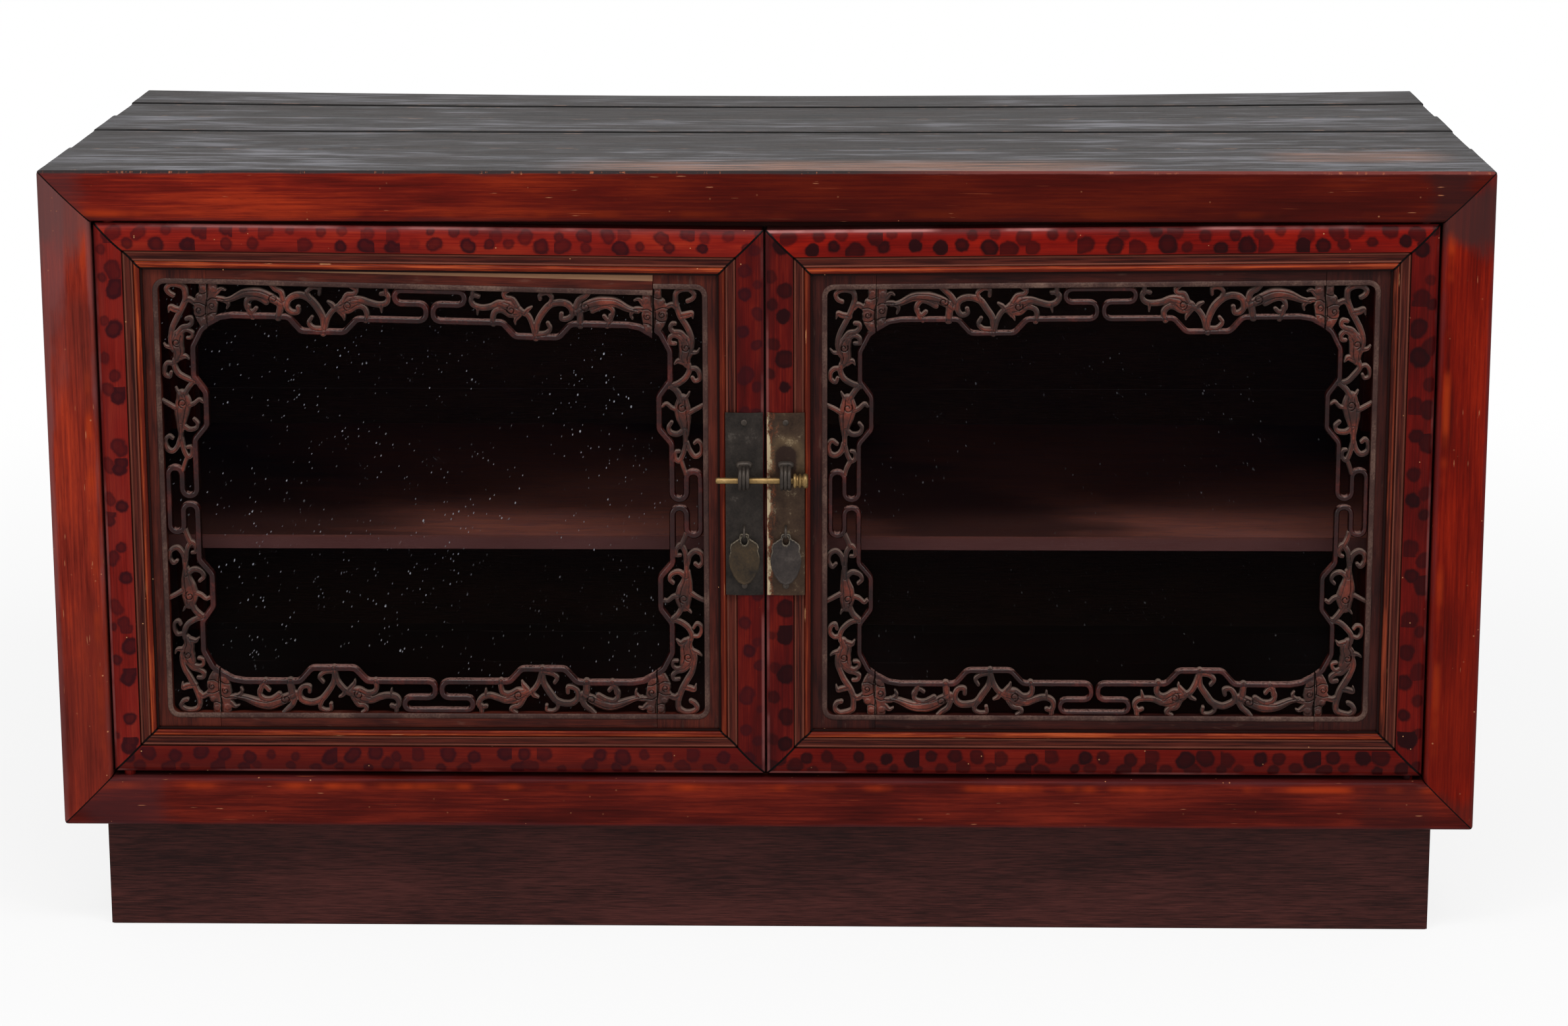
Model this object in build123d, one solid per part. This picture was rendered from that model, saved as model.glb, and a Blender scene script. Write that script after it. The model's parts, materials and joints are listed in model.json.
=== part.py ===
"""Two-door book cabinet with glazed doors and openwork carved door panels.

Millimetres. +Z is up, the front faces -Y and +X runs to the right of a person who faces the front.
The origin is the middle of the bounding box on the floor. Each sub-part is one STEP file in parts/.
"""
import os
from math import atan2, cos, hypot, sin

from build123d import *

# ---------------------------------------------------------------- driving dimensions
# Case
CASE_WIDTH = 1300.0            # over the front frame
CASE_DEPTH = 550.0             # front frame to back boards
CASE_HEIGHT = 612.0            # front frame, without the plinth
PLINTH_HEIGHT = 108.0
PLINTH_INSET = 34.0            # plinth face behind the case on all four sides
PLINTH_THICK = 20.0
CORNER_BLOCK = 46.0            # leg of the triangular glue blocks in the plinth
# Front frame
FRAME_FACE = 46.0              # width of the frame members seen from the front
FRAME_THICK = 45.0             # depth of the frame members
FRAME_CROWN = 3.0              # how far their convex front stands out
FRAME_ROUND = 4.0              # rounding of their front edges
# Carcass behind the frame
POST_WIDTH = 46.0              # rear posts and bottom side rails, across the case
POST_DEPTH = 46.0
RAIL_THICK = 28.0              # top side rails and rear top rail
RAIL_HEIGHT = 40.0
SIDE_PANEL_THICK = 12.0
SIDE_PANEL_SETBACK = 8.0       # panel face behind the posts and rails
BACK_BOARD_THICK = 10.0
BACK_BOARD_SETBACK = 8.0
BACK_BOARD_COUNT = 4
GROOVE_DEPTH = 6.0             # panels and back boards in their frames
PANEL_PLAY = 0.5               # free space at the bottom of a groove or beside a board
FLOOR_THICK = 14.0
FLOOR_BEARING = 22.0           # rebate in the bottom side rails that carries the floor boards
FLOOR_BOARD_COUNT = 4
BEARER_WIDTH = 40.0
BEARER_HEIGHT = 26.0
TOP_BOARD_THICK = 16.0
TOP_LIP = 6.0                  # strip of the front frame left in front of the top boards
TOP_SEAMS = (0.27, 0.48, 0.66, 0.83)          # seams between the top boards, share of the depth
TOP_END_SHORTFALL = (0.0, 1.5, 0.6, 2.2, 1.0)  # uneven sawn ends, one for each board
BOARD_GAP = 0.4                # open seam between loose boards
# Shelf
SHELF_TOP = 371.0              # above the floor of the room
SHELF_THICK = 13.0
SHELF_SETBACK = 60.0           # front edge behind the front frame
CLEAT_SIZE = 18.0
# Doors
DOOR_THICK = 26.0
DOOR_SETBACK = 3.0             # door face behind the crown of the front frame
GAP_HINGE = 2.5                # between hinge stile and front frame
GAP_CENTRE = 2.0               # between the two doors
GAP_BOTTOM = 5.0
GAP_TOP = 2.0                  # at the hinge side
LOCK_SIDE_DROP = 6.0           # how much lower the top edge lies where the doors meet
# Door member profile, from its outer edge inwards
BAND_WIDTH = 24.5              # convex lacquered band
BAND_OUTER_DROP = 5.0
BAND_INNER_DROP = 2.5
STEP_WIDTH = 0.6               # slope from the band down to the mouldings
REED_WIDTH = 2.0               # each of two thin reeds
REED_HEIGHT = 0.8
CHANNEL_WIDTH = 5.2            # flat between the reeds
MOULD_DROP = 4.5               # level of the mouldings below the crown
BEAD_WIDTH = 5.8               # half-round bead
BEAD_HEIGHT = 2.3
LIP_LAND = 2.0                 # flat land inside the bead
LIP_WIDTH = 7.0                # lip in front of the panel's edge
LIP_DROP = 5.5                 # front of the lip below the crown
PANEL_DROP = 8.0               # panel face below the crown
PANEL_THICK = 8.0
GLASS_THICK = 3.0
GLAZING_BEAD_WIDTH = 8.0
# Pivots
PIVOT_RADIUS = 5.0
PIVOT_OFFSET = 12.0            # axis from the stile's outer edge, and behind the door's face
PIVOT_ENGAGEMENT = 10.0        # length of a pivot in its socket
PIVOT_CLEARANCE = 0.05         # radial, in the sockets and in the rail's bore
PIVOT_END_PLAY = 0.3
STOP_SIZE = 14.0               # stop strips behind the doors
STOP_PLAY = 0.4
STOP_END_CLEARANCE = 1.5       # beyond the sweep of the stile's back corner
# Openwork panels
BORDER_WIDTH = 8.2             # flat border in sight
PANEL_BEAD_WIDTH = 4.9         # raised bead round the carved field
PANEL_BEAD_HEIGHT = 1.2
FIELD_CORNER_RADIUS = 6.0
CARVING_DROP = 0.8             # carving below the border's face
CARVING_BACK = 1.0             # carving in front of the panel's back
STRIP_JOINT_CLEARANCE = 1.25   # inner line's widest upright run to the strips' joint
INNER_LINE_WIDTH = 5.6
INNER_LINE_RADIUS = 5.0
FRET_WIDTH = 4.0
# Hardware
PLATE_WIDTH = 34.0
PLATE_HEIGHT = 170.0
PLATE_THICK = 1.4
PLATE_EDGE_GAP = 0.8           # plate edge to the door's lock edge
PLATE_CROWN = 2.0              # rise of the curved plate
PLATE_SINK = 0.6               # plate's crown let into the band
PLATE_TOP = 500.0              # above the floor of the room
NAIL_INSET = 9.0
NAIL_HEAD_RADIUS = 3.0
NAIL_HEAD_HEIGHT = 1.4
NAIL_HEAD_ROUND = 1.1
NAIL_SHANK_RADIUS = 1.0
NAIL_LENGTH = 12.0
NAIL_PLAY = 0.05
LOOP_BELOW_TOP = 58.5          # pin loop's centre below the plate's top
LOOP_RADIUS = 11.5
LOOP_HOLE_RADIUS = 6.0
LOOP_WIDTH = 10.4
LOOP_GROOVE = 1.6
LOOP_LEG_DEPTH = 10.0
PIN_STANDOFF = 8.0             # pin axis in front of the plate's crown
PIN_RADIUS = 3.2
PIN_REST_PLAY = 0.3            # pin above the bottom of the loop's hole
PIN_OVERHANG = 44.5            # tip beyond the centre line, over the left door
PIN_DRAWN_TIP = 1.1            # tip beyond the right loop when the pin is drawn back
PIN_TIP_ROUND = 1.2
KNOB_RADIUS = 6.8
KNOB_LENGTH = 13.7
KNOB_RINGS = 3
KNOB_RING_GROOVE = 0.9
KNOB_GAP = 1.4                 # knob to the right loop
PULL_ABOVE_END = 60.0          # pull's axis above the plate's lower end
PULL_WIRE_RADIUS = 1.2
PULL_RING_RADIUS = 5.0         # to the middle of the wire
PULL_STANDOFF = 3.6            # pull's middle plane in front of the plate's crown
PULL_LEG_DEPTH = 9.0
PULL_WIDTH = 28.0
PULL_HEIGHT = 46.0             # below the eye's top
PULL_THICK = 2.0
PULL_NECK_HALF = 4.4
PULL_SHOULDER_DROP = 10.0      # below the eye's top, as are the next two
PULL_WAIST_DROP = 15.0
PULL_BELLY_DROP = 23.0
PULL_SHOULDER_HALF = 13.0
PULL_WAIST_HALF = 12.0
PULL_POINT_HALF = 7.7          # where the belly turns into the straight point
PULL_POINT_DROP = 36.8
PULL_EYE_HALF = 3.0
PULL_EYE_HEIGHT = 8.5
PULL_RIM = 2.2
PULL_PLAY = 0.3                # eye's rim above the wire

# ---------------------------------------------------------------- derived places
CASE_HALF = CASE_WIDTH / 2
Z_CASE = PLINTH_HEIGHT
Z_TOP = PLINTH_HEIGHT + CASE_HEIGHT
PLATE_CROWN_LEVEL = DOOR_THICK - PLATE_SINK + PLATE_THICK      # in front of the door's back
LOOP_REACH = PIN_STANDOFF + LOOP_RADIUS + PLATE_CROWN_LEVEL - DOOR_THICK - DOOR_SETBACK
Y_FRONT = LOOP_REACH - (CASE_DEPTH + LOOP_REACH) / 2           # crown of the front frame
Y_BACK = Y_FRONT + CASE_DEPTH
Y_FRAME_BACK = Y_FRONT + FRAME_THICK
OPEN_HALF = CASE_HALF - FRAME_FACE
Z_OPEN_LOW = Z_CASE + FRAME_FACE
Z_OPEN_HIGH = Z_TOP - FRAME_FACE
Z_BOARD = Z_TOP - TOP_BOARD_THICK
Y_DOOR_FACE = Y_FRONT + DOOR_SETBACK
Y_DOOR_BACK = Y_DOOR_FACE + DOOR_THICK
DOOR_OUTER = OPEN_HALF - GAP_HINGE
DOOR_INNER = GAP_CENTRE / 2
Z_DOOR_LOW = Z_OPEN_LOW + GAP_BOTTOM
Z_DOOR_HINGE_TOP = Z_OPEN_HIGH - GAP_TOP
Z_DOOR_LOCK_TOP = Z_DOOR_HINGE_TOP - LOCK_SIDE_DROP
MOULDS = BAND_WIDTH + STEP_WIDTH + 2 * REED_WIDTH + CHANNEL_WIDTH  # outer edge to the bead
DOOR_FACE = MOULDS + BEAD_WIDTH + LIP_LAND
PIVOT_X = DOOR_OUTER - PIVOT_OFFSET
PIVOT_Y = Y_DOOR_FACE + PIVOT_OFFSET
REBATE = DOOR_FACE - LIP_WIDTH                                 # rebate wall from the outer edge
PLATE_X = DOOR_INNER + PLATE_EDGE_GAP + PLATE_WIDTH / 2        # middle of the right plate
Y_PLATE_CROWN = Y_DOOR_BACK - PLATE_CROWN_LEVEL
Y_PIN = Y_PLATE_CROWN - PIN_STANDOFF
Z_LOOP = PLATE_TOP - LOOP_BELOW_TOP
Z_PIN = Z_LOOP - LOOP_HOLE_RADIUS + PIN_RADIUS + PIN_REST_PLAY
PIN_TRAVEL = PIN_OVERHANG + PLATE_X - LOOP_WIDTH / 2 - PIN_DRAWN_TIP
Z_PULL = PLATE_TOP - PLATE_HEIGHT + PULL_ABOVE_END
Y_PULL = Y_PLATE_CROWN - PULL_STANDOFF
SIDE_PANEL_OUT = CASE_HALF - SIDE_PANEL_SETBACK
SIDE_PANEL_IN = SIDE_PANEL_OUT - SIDE_PANEL_THICK
Y_BACK_BOARD_IN = Y_BACK - BACK_BOARD_SETBACK - BACK_BOARD_THICK
OVERCUT = 20.0                                                 # length that a cut runs past its piece

Point = tuple[float, float]
parts: dict[str, Part] = {}


# ---------------------------------------------------------------- helpers
def block(x0: float, x1: float, y0: float, y1: float, z0: float, z1: float) -> Part:
    """Return an upright block between the given limits."""
    middle = Pos((x0 + x1) / 2, (y0 + y1) / 2, (z0 + z1) / 2)
    return middle * Box(abs(x1 - x0), abs(y1 - y0), abs(z1 - z0))


def polygon(points: list[Point]) -> Sketch:
    """Return the face inside a closed run of points."""
    return make_face(Polyline(*points, close=True))


def upright(face: Sketch, y_back: float, thick: float) -> Part:
    """Stand a face drawn in X and Z up at y_back and thicken it towards the front."""
    return extrude(Plane.XZ.offset(-y_back) * face, amount=thick)


def along_x(face: Sketch, x0: float, x1: float) -> Part:
    """Turn a face drawn in Y and Z into a bar from x0 to x1."""
    return extrude(Plane.YZ.offset(x0) * face, amount=x1 - x0)


def column(x: float, y: float, z0: float, z1: float, radius: float) -> Part:
    """Return an upright round pin."""
    return Pos(x, y, (z0 + z1) / 2) * Cylinder(radius, z1 - z0)


def peg(x: float, z: float, y_front: float, length: float, radius: float) -> Part:
    """Return a round pin that runs back from y_front."""
    return Pos(x, y_front + length / 2, z) * Rot(90, 0, 0) * Cylinder(radius, length)


def mirrored(shape: Part) -> Part:
    """Return the shape on the other side of the cabinet's middle plane."""
    return mirror(shape, about=Plane.YZ)


def inset_corners(corners: list[Point], inset: float) -> list[Point]:
    """Move each side of a counter-clockwise outline inwards by inset."""
    count = len(corners)
    moved = []
    for index in range(count):
        before, here, after = corners[index - 1], corners[index], corners[(index + 1) % count]
        turn_in = atan2(here[1] - before[1], here[0] - before[0])
        turn_out = atan2(after[1] - here[1], after[0] - here[0])
        normal_in = (-sin(turn_in), cos(turn_in))
        normal_out = (-sin(turn_out), cos(turn_out))
        scale = inset / (1 + normal_in[0] * normal_out[0] + normal_in[1] * normal_out[1])
        moved.append((here[0] + scale * (normal_in[0] + normal_out[0]),
                      here[1] + scale * (normal_in[1] + normal_out[1])))
    return moved


def mitred_bar(corners: list[Point], index: int, section: Sketch, reach: float, y_back: float,
               thick: float) -> Part:
    """Run a section along one side of an outline and cut both ends on the mitre planes."""
    outer = inset_corners(corners, -OVERCUT)
    inner = inset_corners(corners, reach + OVERCUT)
    after = (index + 1) % len(corners)
    start, end = corners[index], corners[after]
    length = hypot(end[0] - start[0], end[1] - start[1])
    heading = ((end[0] - start[0]) / length, (end[1] - start[1]) / length)
    origin = (start[0] - OVERCUT * heading[0], y_back, start[1] - OVERCUT * heading[1])
    seat = Plane(origin=origin, x_dir=(-heading[1], 0, heading[0]), z_dir=(heading[0], 0, heading[1]))
    bar = extrude(seat * section, amount=length + 2 * OVERCUT)
    prism = polygon([outer[index], outer[after], inner[after], inner[index]])
    return bar & upright(prism, y_back + OVERCUT, thick + 2 * OVERCUT)


def frame_section() -> Sketch:
    """Section of a front frame member: x from its outer edge, y from its back."""
    shoulder = FRAME_THICK - FRAME_CROWN
    sides = Polyline((0, shoulder), (0, 0), (FRAME_FACE, 0), (FRAME_FACE, shoulder))
    crown = ThreePointArc((FRAME_FACE, shoulder), (FRAME_FACE / 2, FRAME_THICK), (0, shoulder))
    face = make_face([sides, crown])
    return fillet(face.vertices().sort_by(Axis.Y)[-2:], FRAME_ROUND)


def door_section() -> Sketch:
    """Section of a door member: x from its outer edge, y from its back."""
    crown, level = DOOR_THICK, DOOR_THICK - MOULD_DROP
    first_reed = BAND_WIDTH + STEP_WIDTH
    land = MOULDS + BEAD_WIDTH
    lip_front, panel_face = crown - LIP_DROP, crown - PANEL_DROP
    band_end = crown - BAND_INNER_DROP
    reeds = [ThreePointArc((start, level), (start + REED_WIDTH / 2, level + REED_HEIGHT),
                           (start + REED_WIDTH, level)) for start in (first_reed, MOULDS - REED_WIDTH)]
    return make_face([
        Polyline((land, level), (land, lip_front), (DOOR_FACE, lip_front), (DOOR_FACE, panel_face),
                 (REBATE, panel_face), (REBATE, 0), (0, 0), (0, crown - BAND_OUTER_DROP)),
        ThreePointArc((0, crown - BAND_OUTER_DROP), (BAND_WIDTH / 2, crown), (BAND_WIDTH, band_end)),
        Line((BAND_WIDTH, band_end), (first_reed, level)),
        Line((first_reed + REED_WIDTH, level), (MOULDS - REED_WIDTH, level)),
        *reeds,
        ThreePointArc((MOULDS, level), (MOULDS + BEAD_WIDTH / 2, level + BEAD_HEIGHT), (land, level)),
    ])


# ---------------------------------------------------------------- case
def make_front_frame() -> None:
    """Four mitred members, with the rebate for the top boards and the pivot sockets."""
    corners = [(-CASE_HALF, Z_CASE), (CASE_HALF, Z_CASE), (CASE_HALF, Z_TOP), (-CASE_HALF, Z_TOP)]
    names = ("front_bottom_rail", "front_right_stile", "front_top_rail", "front_left_stile")
    board_rebate = block(-CASE_HALF - OVERCUT, CASE_HALF + OVERCUT, Y_FRONT + TOP_LIP,
                         Y_FRAME_BACK + OVERCUT, Z_BOARD, Z_TOP + OVERCUT)
    panel_groove = block(SIDE_PANEL_IN, SIDE_PANEL_OUT, Y_FRAME_BACK - GROOVE_DEPTH,
                         Y_FRAME_BACK + OVERCUT, Z_CASE + FRAME_FACE - GROOVE_DEPTH,
                         Z_BOARD - RAIL_HEIGHT + GROOVE_DEPTH)
    socket = PIVOT_RADIUS + PIVOT_CLEARANCE
    depth = PIVOT_ENGAGEMENT + PIVOT_END_PLAY
    for index, name in enumerate(names):
        member = mitred_bar(corners, index, frame_section(), FRAME_FACE, Y_FRAME_BACK, FRAME_THICK)
        member -= board_rebate
        for side in (-1, 1):
            x_socket = side * PIVOT_X
            if name == "front_bottom_rail":
                member -= column(x_socket, PIVOT_Y, Z_OPEN_LOW - depth, Z_OPEN_LOW + OVERCUT, socket)
            if name == "front_top_rail":
                member -= column(x_socket, PIVOT_Y, Z_OPEN_HIGH - OVERCUT, Z_OPEN_HIGH + depth, socket)
        if name == "front_right_stile":
            member -= panel_groove
        if name == "front_left_stile":
            member -= mirrored(panel_groove)
        parts[name] = member


def make_carcass() -> None:
    """Rear posts and rails, side rails and panels, back, floor and top boards."""
    y_post = Y_BACK - POST_DEPTH
    z_side_low, z_side_high = Z_OPEN_LOW, Z_BOARD - RAIL_HEIGHT
    panel = block(SIDE_PANEL_IN, SIDE_PANEL_OUT, Y_FRAME_BACK - GROOVE_DEPTH + PANEL_PLAY,
                  y_post + GROOVE_DEPTH - PANEL_PLAY, z_side_low - GROOVE_DEPTH,
                  z_side_high + GROOVE_DEPTH - PANEL_PLAY)
    panel_slot = block(SIDE_PANEL_IN, SIDE_PANEL_OUT, Y_FRAME_BACK - OVERCUT, y_post + GROOVE_DEPTH,
                       z_side_low - GROOVE_DEPTH, z_side_high + GROOVE_DEPTH)
    back_half = OPEN_HALF + GROOVE_DEPTH
    back_slot = block(-back_half, back_half, Y_BACK_BOARD_IN, Y_BACK - BACK_BOARD_SETBACK,
                      z_side_low - GROOVE_DEPTH, z_side_high + GROOVE_DEPTH)
    floor_half = CASE_HALF - POST_WIDTH + FLOOR_BEARING
    z_floor = Z_OPEN_LOW - FLOOR_THICK
    floor_rebate = block(-floor_half, floor_half, Y_FRAME_BACK, y_post, z_floor, Z_OPEN_LOW + OVERCUT)
    post = block(CASE_HALF - POST_WIDTH, CASE_HALF, y_post, Y_BACK, Z_CASE, Z_BOARD)
    post = post - panel_slot - back_slot
    top_rail = block(CASE_HALF - RAIL_THICK, CASE_HALF, Y_FRAME_BACK, y_post, z_side_high, Z_BOARD)
    bottom_rail = block(CASE_HALF - POST_WIDTH, CASE_HALF, Y_FRAME_BACK, y_post, Z_CASE, Z_OPEN_LOW)
    right = {"rear_{}_post": post, "{}_top_side_rail": top_rail - panel_slot,
             "{}_bottom_side_rail": bottom_rail - panel_slot - floor_rebate, "{}_side_panel": panel}
    for pattern, shape in right.items():
        parts[pattern.format("right")] = shape
        parts[pattern.format("left")] = mirrored(shape)

    rear_top = block(-OPEN_HALF, OPEN_HALF, Y_BACK - RAIL_THICK, Y_BACK, z_side_high, Z_BOARD)
    rear_bottom = block(-OPEN_HALF, OPEN_HALF, y_post, Y_BACK, Z_CASE, Z_OPEN_LOW)
    parts["rear_top_rail"] = rear_top - back_slot
    parts["rear_bottom_rail"] = rear_bottom - back_slot

    z_back_low = z_side_low - GROOVE_DEPTH
    pitch = (z_side_high + GROOVE_DEPTH - PANEL_PLAY - z_back_low) / BACK_BOARD_COUNT
    parts["back_boards"] = Compound(children=[
        block(-back_half + PANEL_PLAY, back_half - PANEL_PLAY, Y_BACK_BOARD_IN,
              Y_BACK - BACK_BOARD_SETBACK, z_back_low + n * pitch, z_back_low + (n + 1) * pitch - BOARD_GAP)
        for n in range(BACK_BOARD_COUNT)])

    floor_pitch = (y_post - Y_FRAME_BACK) / FLOOR_BOARD_COUNT
    parts["floor_boards"] = Compound(children=[
        block(-floor_half + PANEL_PLAY, floor_half - PANEL_PLAY, Y_FRAME_BACK + n * floor_pitch,
              Y_FRAME_BACK + (n + 1) * floor_pitch - BOARD_GAP, z_floor, Z_OPEN_LOW)
        for n in range(FLOOR_BOARD_COUNT)])
    parts["floor_bearer"] = block(-BEARER_WIDTH / 2, BEARER_WIDTH / 2, Y_FRAME_BACK, y_post,
                                  z_floor - BEARER_HEIGHT, z_floor)

    seams = [Y_FRONT + share * CASE_DEPTH for share in TOP_SEAMS]
    starts, ends = [Y_FRONT + TOP_LIP, *seams], [*(seam - BOARD_GAP for seam in seams), Y_BACK]
    parts["top_boards"] = Compound(children=[
        block(-CASE_HALF + short, CASE_HALF - short, start, end, Z_BOARD, Z_TOP)
        for short, start, end in zip(TOP_END_SHORTFALL, starts, ends)])


def make_shelf_and_stops() -> None:
    """The shelf on its cleats and the strips that the doors close against."""
    y_shelf = Y_FRONT + SHELF_SETBACK
    reach = SIDE_PANEL_IN - PANEL_PLAY
    y_post = Y_BACK - POST_DEPTH
    z_cleat = SHELF_TOP - SHELF_THICK
    shelf = block(-reach, reach, y_shelf, Y_BACK_BOARD_IN, z_cleat, SHELF_TOP)
    for side in (-1, 1):
        shelf -= block(side * (CASE_HALF - POST_WIDTH - PANEL_PLAY), side * CASE_HALF,
                       y_post - PANEL_PLAY, Y_BACK, z_cleat - OVERCUT, SHELF_TOP + OVERCUT)
    parts["shelf"] = shelf
    cleat = block(SIDE_PANEL_IN - CLEAT_SIZE, SIDE_PANEL_IN, y_shelf, y_post, z_cleat - CLEAT_SIZE, z_cleat)
    parts["shelf_cleats"] = Compound(children=[cleat, mirrored(cleat)])

    sweep = hypot(PIVOT_OFFSET, DOOR_THICK - PIVOT_OFFSET)
    stop_half = PIVOT_X - sweep - STOP_END_CLEARANCE
    y_stop = Y_DOOR_BACK + STOP_PLAY
    y_stop_back = min(y_stop + STOP_SIZE, Y_FRAME_BACK)
    parts["top_door_stop"] = block(-stop_half, stop_half, y_stop, y_stop_back,
                                   Z_OPEN_HIGH - STOP_SIZE, Z_OPEN_HIGH)
    parts["bottom_door_stop"] = block(-stop_half, stop_half, y_stop, y_stop_back,
                                      Z_OPEN_LOW, Z_OPEN_LOW + STOP_SIZE)


def make_plinth() -> None:
    """Four mitred plinth boards with a glue block in each corner."""
    half = CASE_HALF - PLINTH_INSET
    y0, y1 = Y_FRONT + PLINTH_INSET, Y_BACK - PLINTH_INSET
    outer = [(-half, y0), (half, y0), (half, y1), (-half, y1)]
    inner = inset_corners(outer, PLINTH_THICK)
    names = ("plinth_front", "plinth_right", "plinth_back", "plinth_left")
    for index, name in enumerate(names):
        after = (index + 1) % len(outer)
        plan = polygon([outer[index], outer[after], inner[after], inner[index]])
        parts[name] = extrude(plan, amount=PLINTH_HEIGHT)
    blocks = []
    for x, y in inner:
        side_x, side_y = (-1 if x > 0 else 1), (1 if y < (y0 + y1) / 2 else -1)
        plan = polygon([(x, y), (x + side_x * CORNER_BLOCK, y), (x, y + side_y * CORNER_BLOCK)])
        blocks.append(extrude(plan, amount=PLINTH_HEIGHT))
    parts["plinth_corner_blocks"] = Compound(children=blocks)


# ---------------------------------------------------------------- openwork
# Motifs of one quarter of the carved field: (across from the field's side, down from its top).
# Each stroke is (half widths at its two ends or one half width, points).
INNER_LINE = [(2.7, 196), (2.7, 171), (15.5, 171), (15.5, 197), (28.5, 197), (28.5, 144.6), (40, 130.5),
              (40, 100), (29.5, 86), (29.5, 58), (38, 42), (56, 30), (70, 29), (117.5, 29), (129, 42),
              (168.4, 42), (180, 29.5), (242, 29.5), (242, 14.1), (214.5, 14.1), (214.5, 2), (245.5, 2)]
MIDDLE_FRET = [(2.7, 201), (2.7, 195)]
DRAWN_HALF_WIDTH = INNER_LINE[-1][0]           # the motifs stretch from this size to the real field
DRAWN_HALF_HEIGHT = MIDDLE_FRET[0][1]
DRAWN_SIDE_REACH = max(across for across, down in INNER_LINE if down > DRAWN_HALF_HEIGHT / 3)
CORNER_MASK = [(36.7, -4), (36.7, 8), (30, 17.3), (31.5, 30), (41, 43), (54, 31), (52.6, 14.5), (54, -4)]
STROKES = [
    # corner: tail, bridge to the mask and the sprig beyond it
    ((2.2, 2.2), [(12.7, 11.7), (7.9, 5.2), (12.5, 1.4), (20, 2.4), (24, 9), (20, 23.8), (11.8, 40.6),
                  (9.6, 54.6), (15.9, 63)]),
    ((2.6, 2.6), [(22, 19), (33, 16.5)]),
    ((2.4, 2.0), [(13, 47), (20.4, 41), (26, 39.7), (29, 35.5)]),
    ((6.0, 3.5), [(16.8, 46), (14.6, 54.6), (15, 65), (12.5, 73)]),
    # side: first and second creature of the upright strip
    ((2.6, 2.6), [(12.2, 70), (12, 77), (18, 84.5), (32, 91)]),
    ((2.2, 2.0), [(11, 74), (4.5, 76), (-1, 82)]),
    ((2.6, 3.2), [(28.5, 90), (23.1, 96.6), (19, 105)]),
    ((7.0, 3.6), [(18, 102), (19.2, 112), (16.6, 123), (15.8, 136)]),
    ((2.4, 2.4), [(12, 115.5), (-1, 108)]),
    ((2.4, 1.8), [(17, 131), (23.2, 135.5), (29.5, 134)]),
    ((3.4, 2.4), [(15.8, 132), (15.8, 144), (12, 152.5), (6, 155.5), (-1, 149)]),
    ((2.4, 2.0), [(16, 144), (17.7, 155.7), (21, 162), (17.5, 169), (16.5, 173)]),
    # top: first creature, tied to the mask, the border and the inner line
    ((2.0, 5.6), [(53, 12), (63, 13.5), (77.5, 8.5), (92, 8.5), (105, 13.5), (113, 19)]),
    ((2.3, 2.3), [(99, 17), (90, 12.5), (81, 14.5), (81, 22), (86, 29)]),
    ((2.6, 2.6), [(104, -1), (109.3, 5), (112, 14)]),
    ((3.4, 3.4), [(110.4, 17), (109.5, 30)]),
    # top: scroll between the creatures
    ((2.8, 2.8), [(123, 24.5), (117.8, 18), (121, 10.5), (130, 8.7), (139, 13.5), (146, 23), (149.6, 36),
                  (149.6, 43)]),
    ((2.2, 2.2), [(137.3, 12), (135.8, 5), (139, -1)]),
    ((2.6, 2.6), [(149.6, 38.5), (154, 27.5), (161, 19), (168, 16.5)]),
    # top: second creature
    ((5.5, 2.4), [(166, 18.5), (175, 13.5), (182.7, 11.6), (192, 15), (200, 15.5), (206.5, 11), (205, -1)]),
    ((2.4, 2.4), [(172, 19), (182, 17.5), (188.6, 23), (187.5, 31)]),
    ((2.3, 2.3), [(167, 14), (171.5, 7), (177, -1)]),
]


def side_offsets(points: list[Point], half_widths: list[float]) -> tuple[list[Point], list[Point]]:
    """Return the left and right edge points of a stroke, mitred at its inner points."""
    left, right = [], []
    last = len(points) - 1
    for index, (x, y) in enumerate(points):
        before, after = points[max(index - 1, 0)], points[min(index + 1, last)]
        turn_in = atan2(y - before[1], x - before[0]) if index > 0 else None
        turn_out = atan2(after[1] - y, after[0] - x) if index < last else None
        turn_in = turn_out if turn_in is None else turn_in
        turn_out = turn_in if turn_out is None else turn_out
        normal = (-sin(turn_in) - sin(turn_out), cos(turn_in) + cos(turn_out))
        scale = half_widths[index] / (1 + cos(turn_in - turn_out))
        left.append((x + scale * normal[0], y + scale * normal[1]))
        right.append((x - scale * normal[0], y - scale * normal[1]))
    return left, right


def band(points: list[Point], width: float, radius: float) -> Sketch:
    """Return a band of even width along straight runs, with its corners rounded."""
    left, right = side_offsets(points, [width / 2] * len(points))
    left_radii, right_radii = [], []
    for before, here, after in zip(points, points[1:], points[2:]):
        turn = (here[0] - before[0]) * (after[1] - here[1]) - (here[1] - before[1]) * (after[0] - here[0])
        left_radii.append(radius - width / 2 if turn > 0 else radius + width / 2)
        right_radii.append(radius + width / 2 if turn > 0 else radius - width / 2)
    return make_face([FilletPolyline(*left, radius=left_radii), FilletPolyline(*right, radius=right_radii),
                      Line(left[0], right[0]), Line(left[-1], right[-1])])


def scroll(points: list[Point], half_widths: tuple[float, float]) -> Sketch:
    """Return a stroke with smooth edges that tapers from its first half width to its last."""
    last = len(points) - 1
    first, final = half_widths
    widths = [first + (final - first) * index / last for index in range(last + 1)]
    left, right = side_offsets(points, widths)
    if last == 1:
        return polygon([left[0], left[1], right[1], right[0]])
    return make_face([Spline(*left), Line(left[-1], right[-1]), Spline(*reversed(right)),
                      Line(right[0], left[0])])


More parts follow.
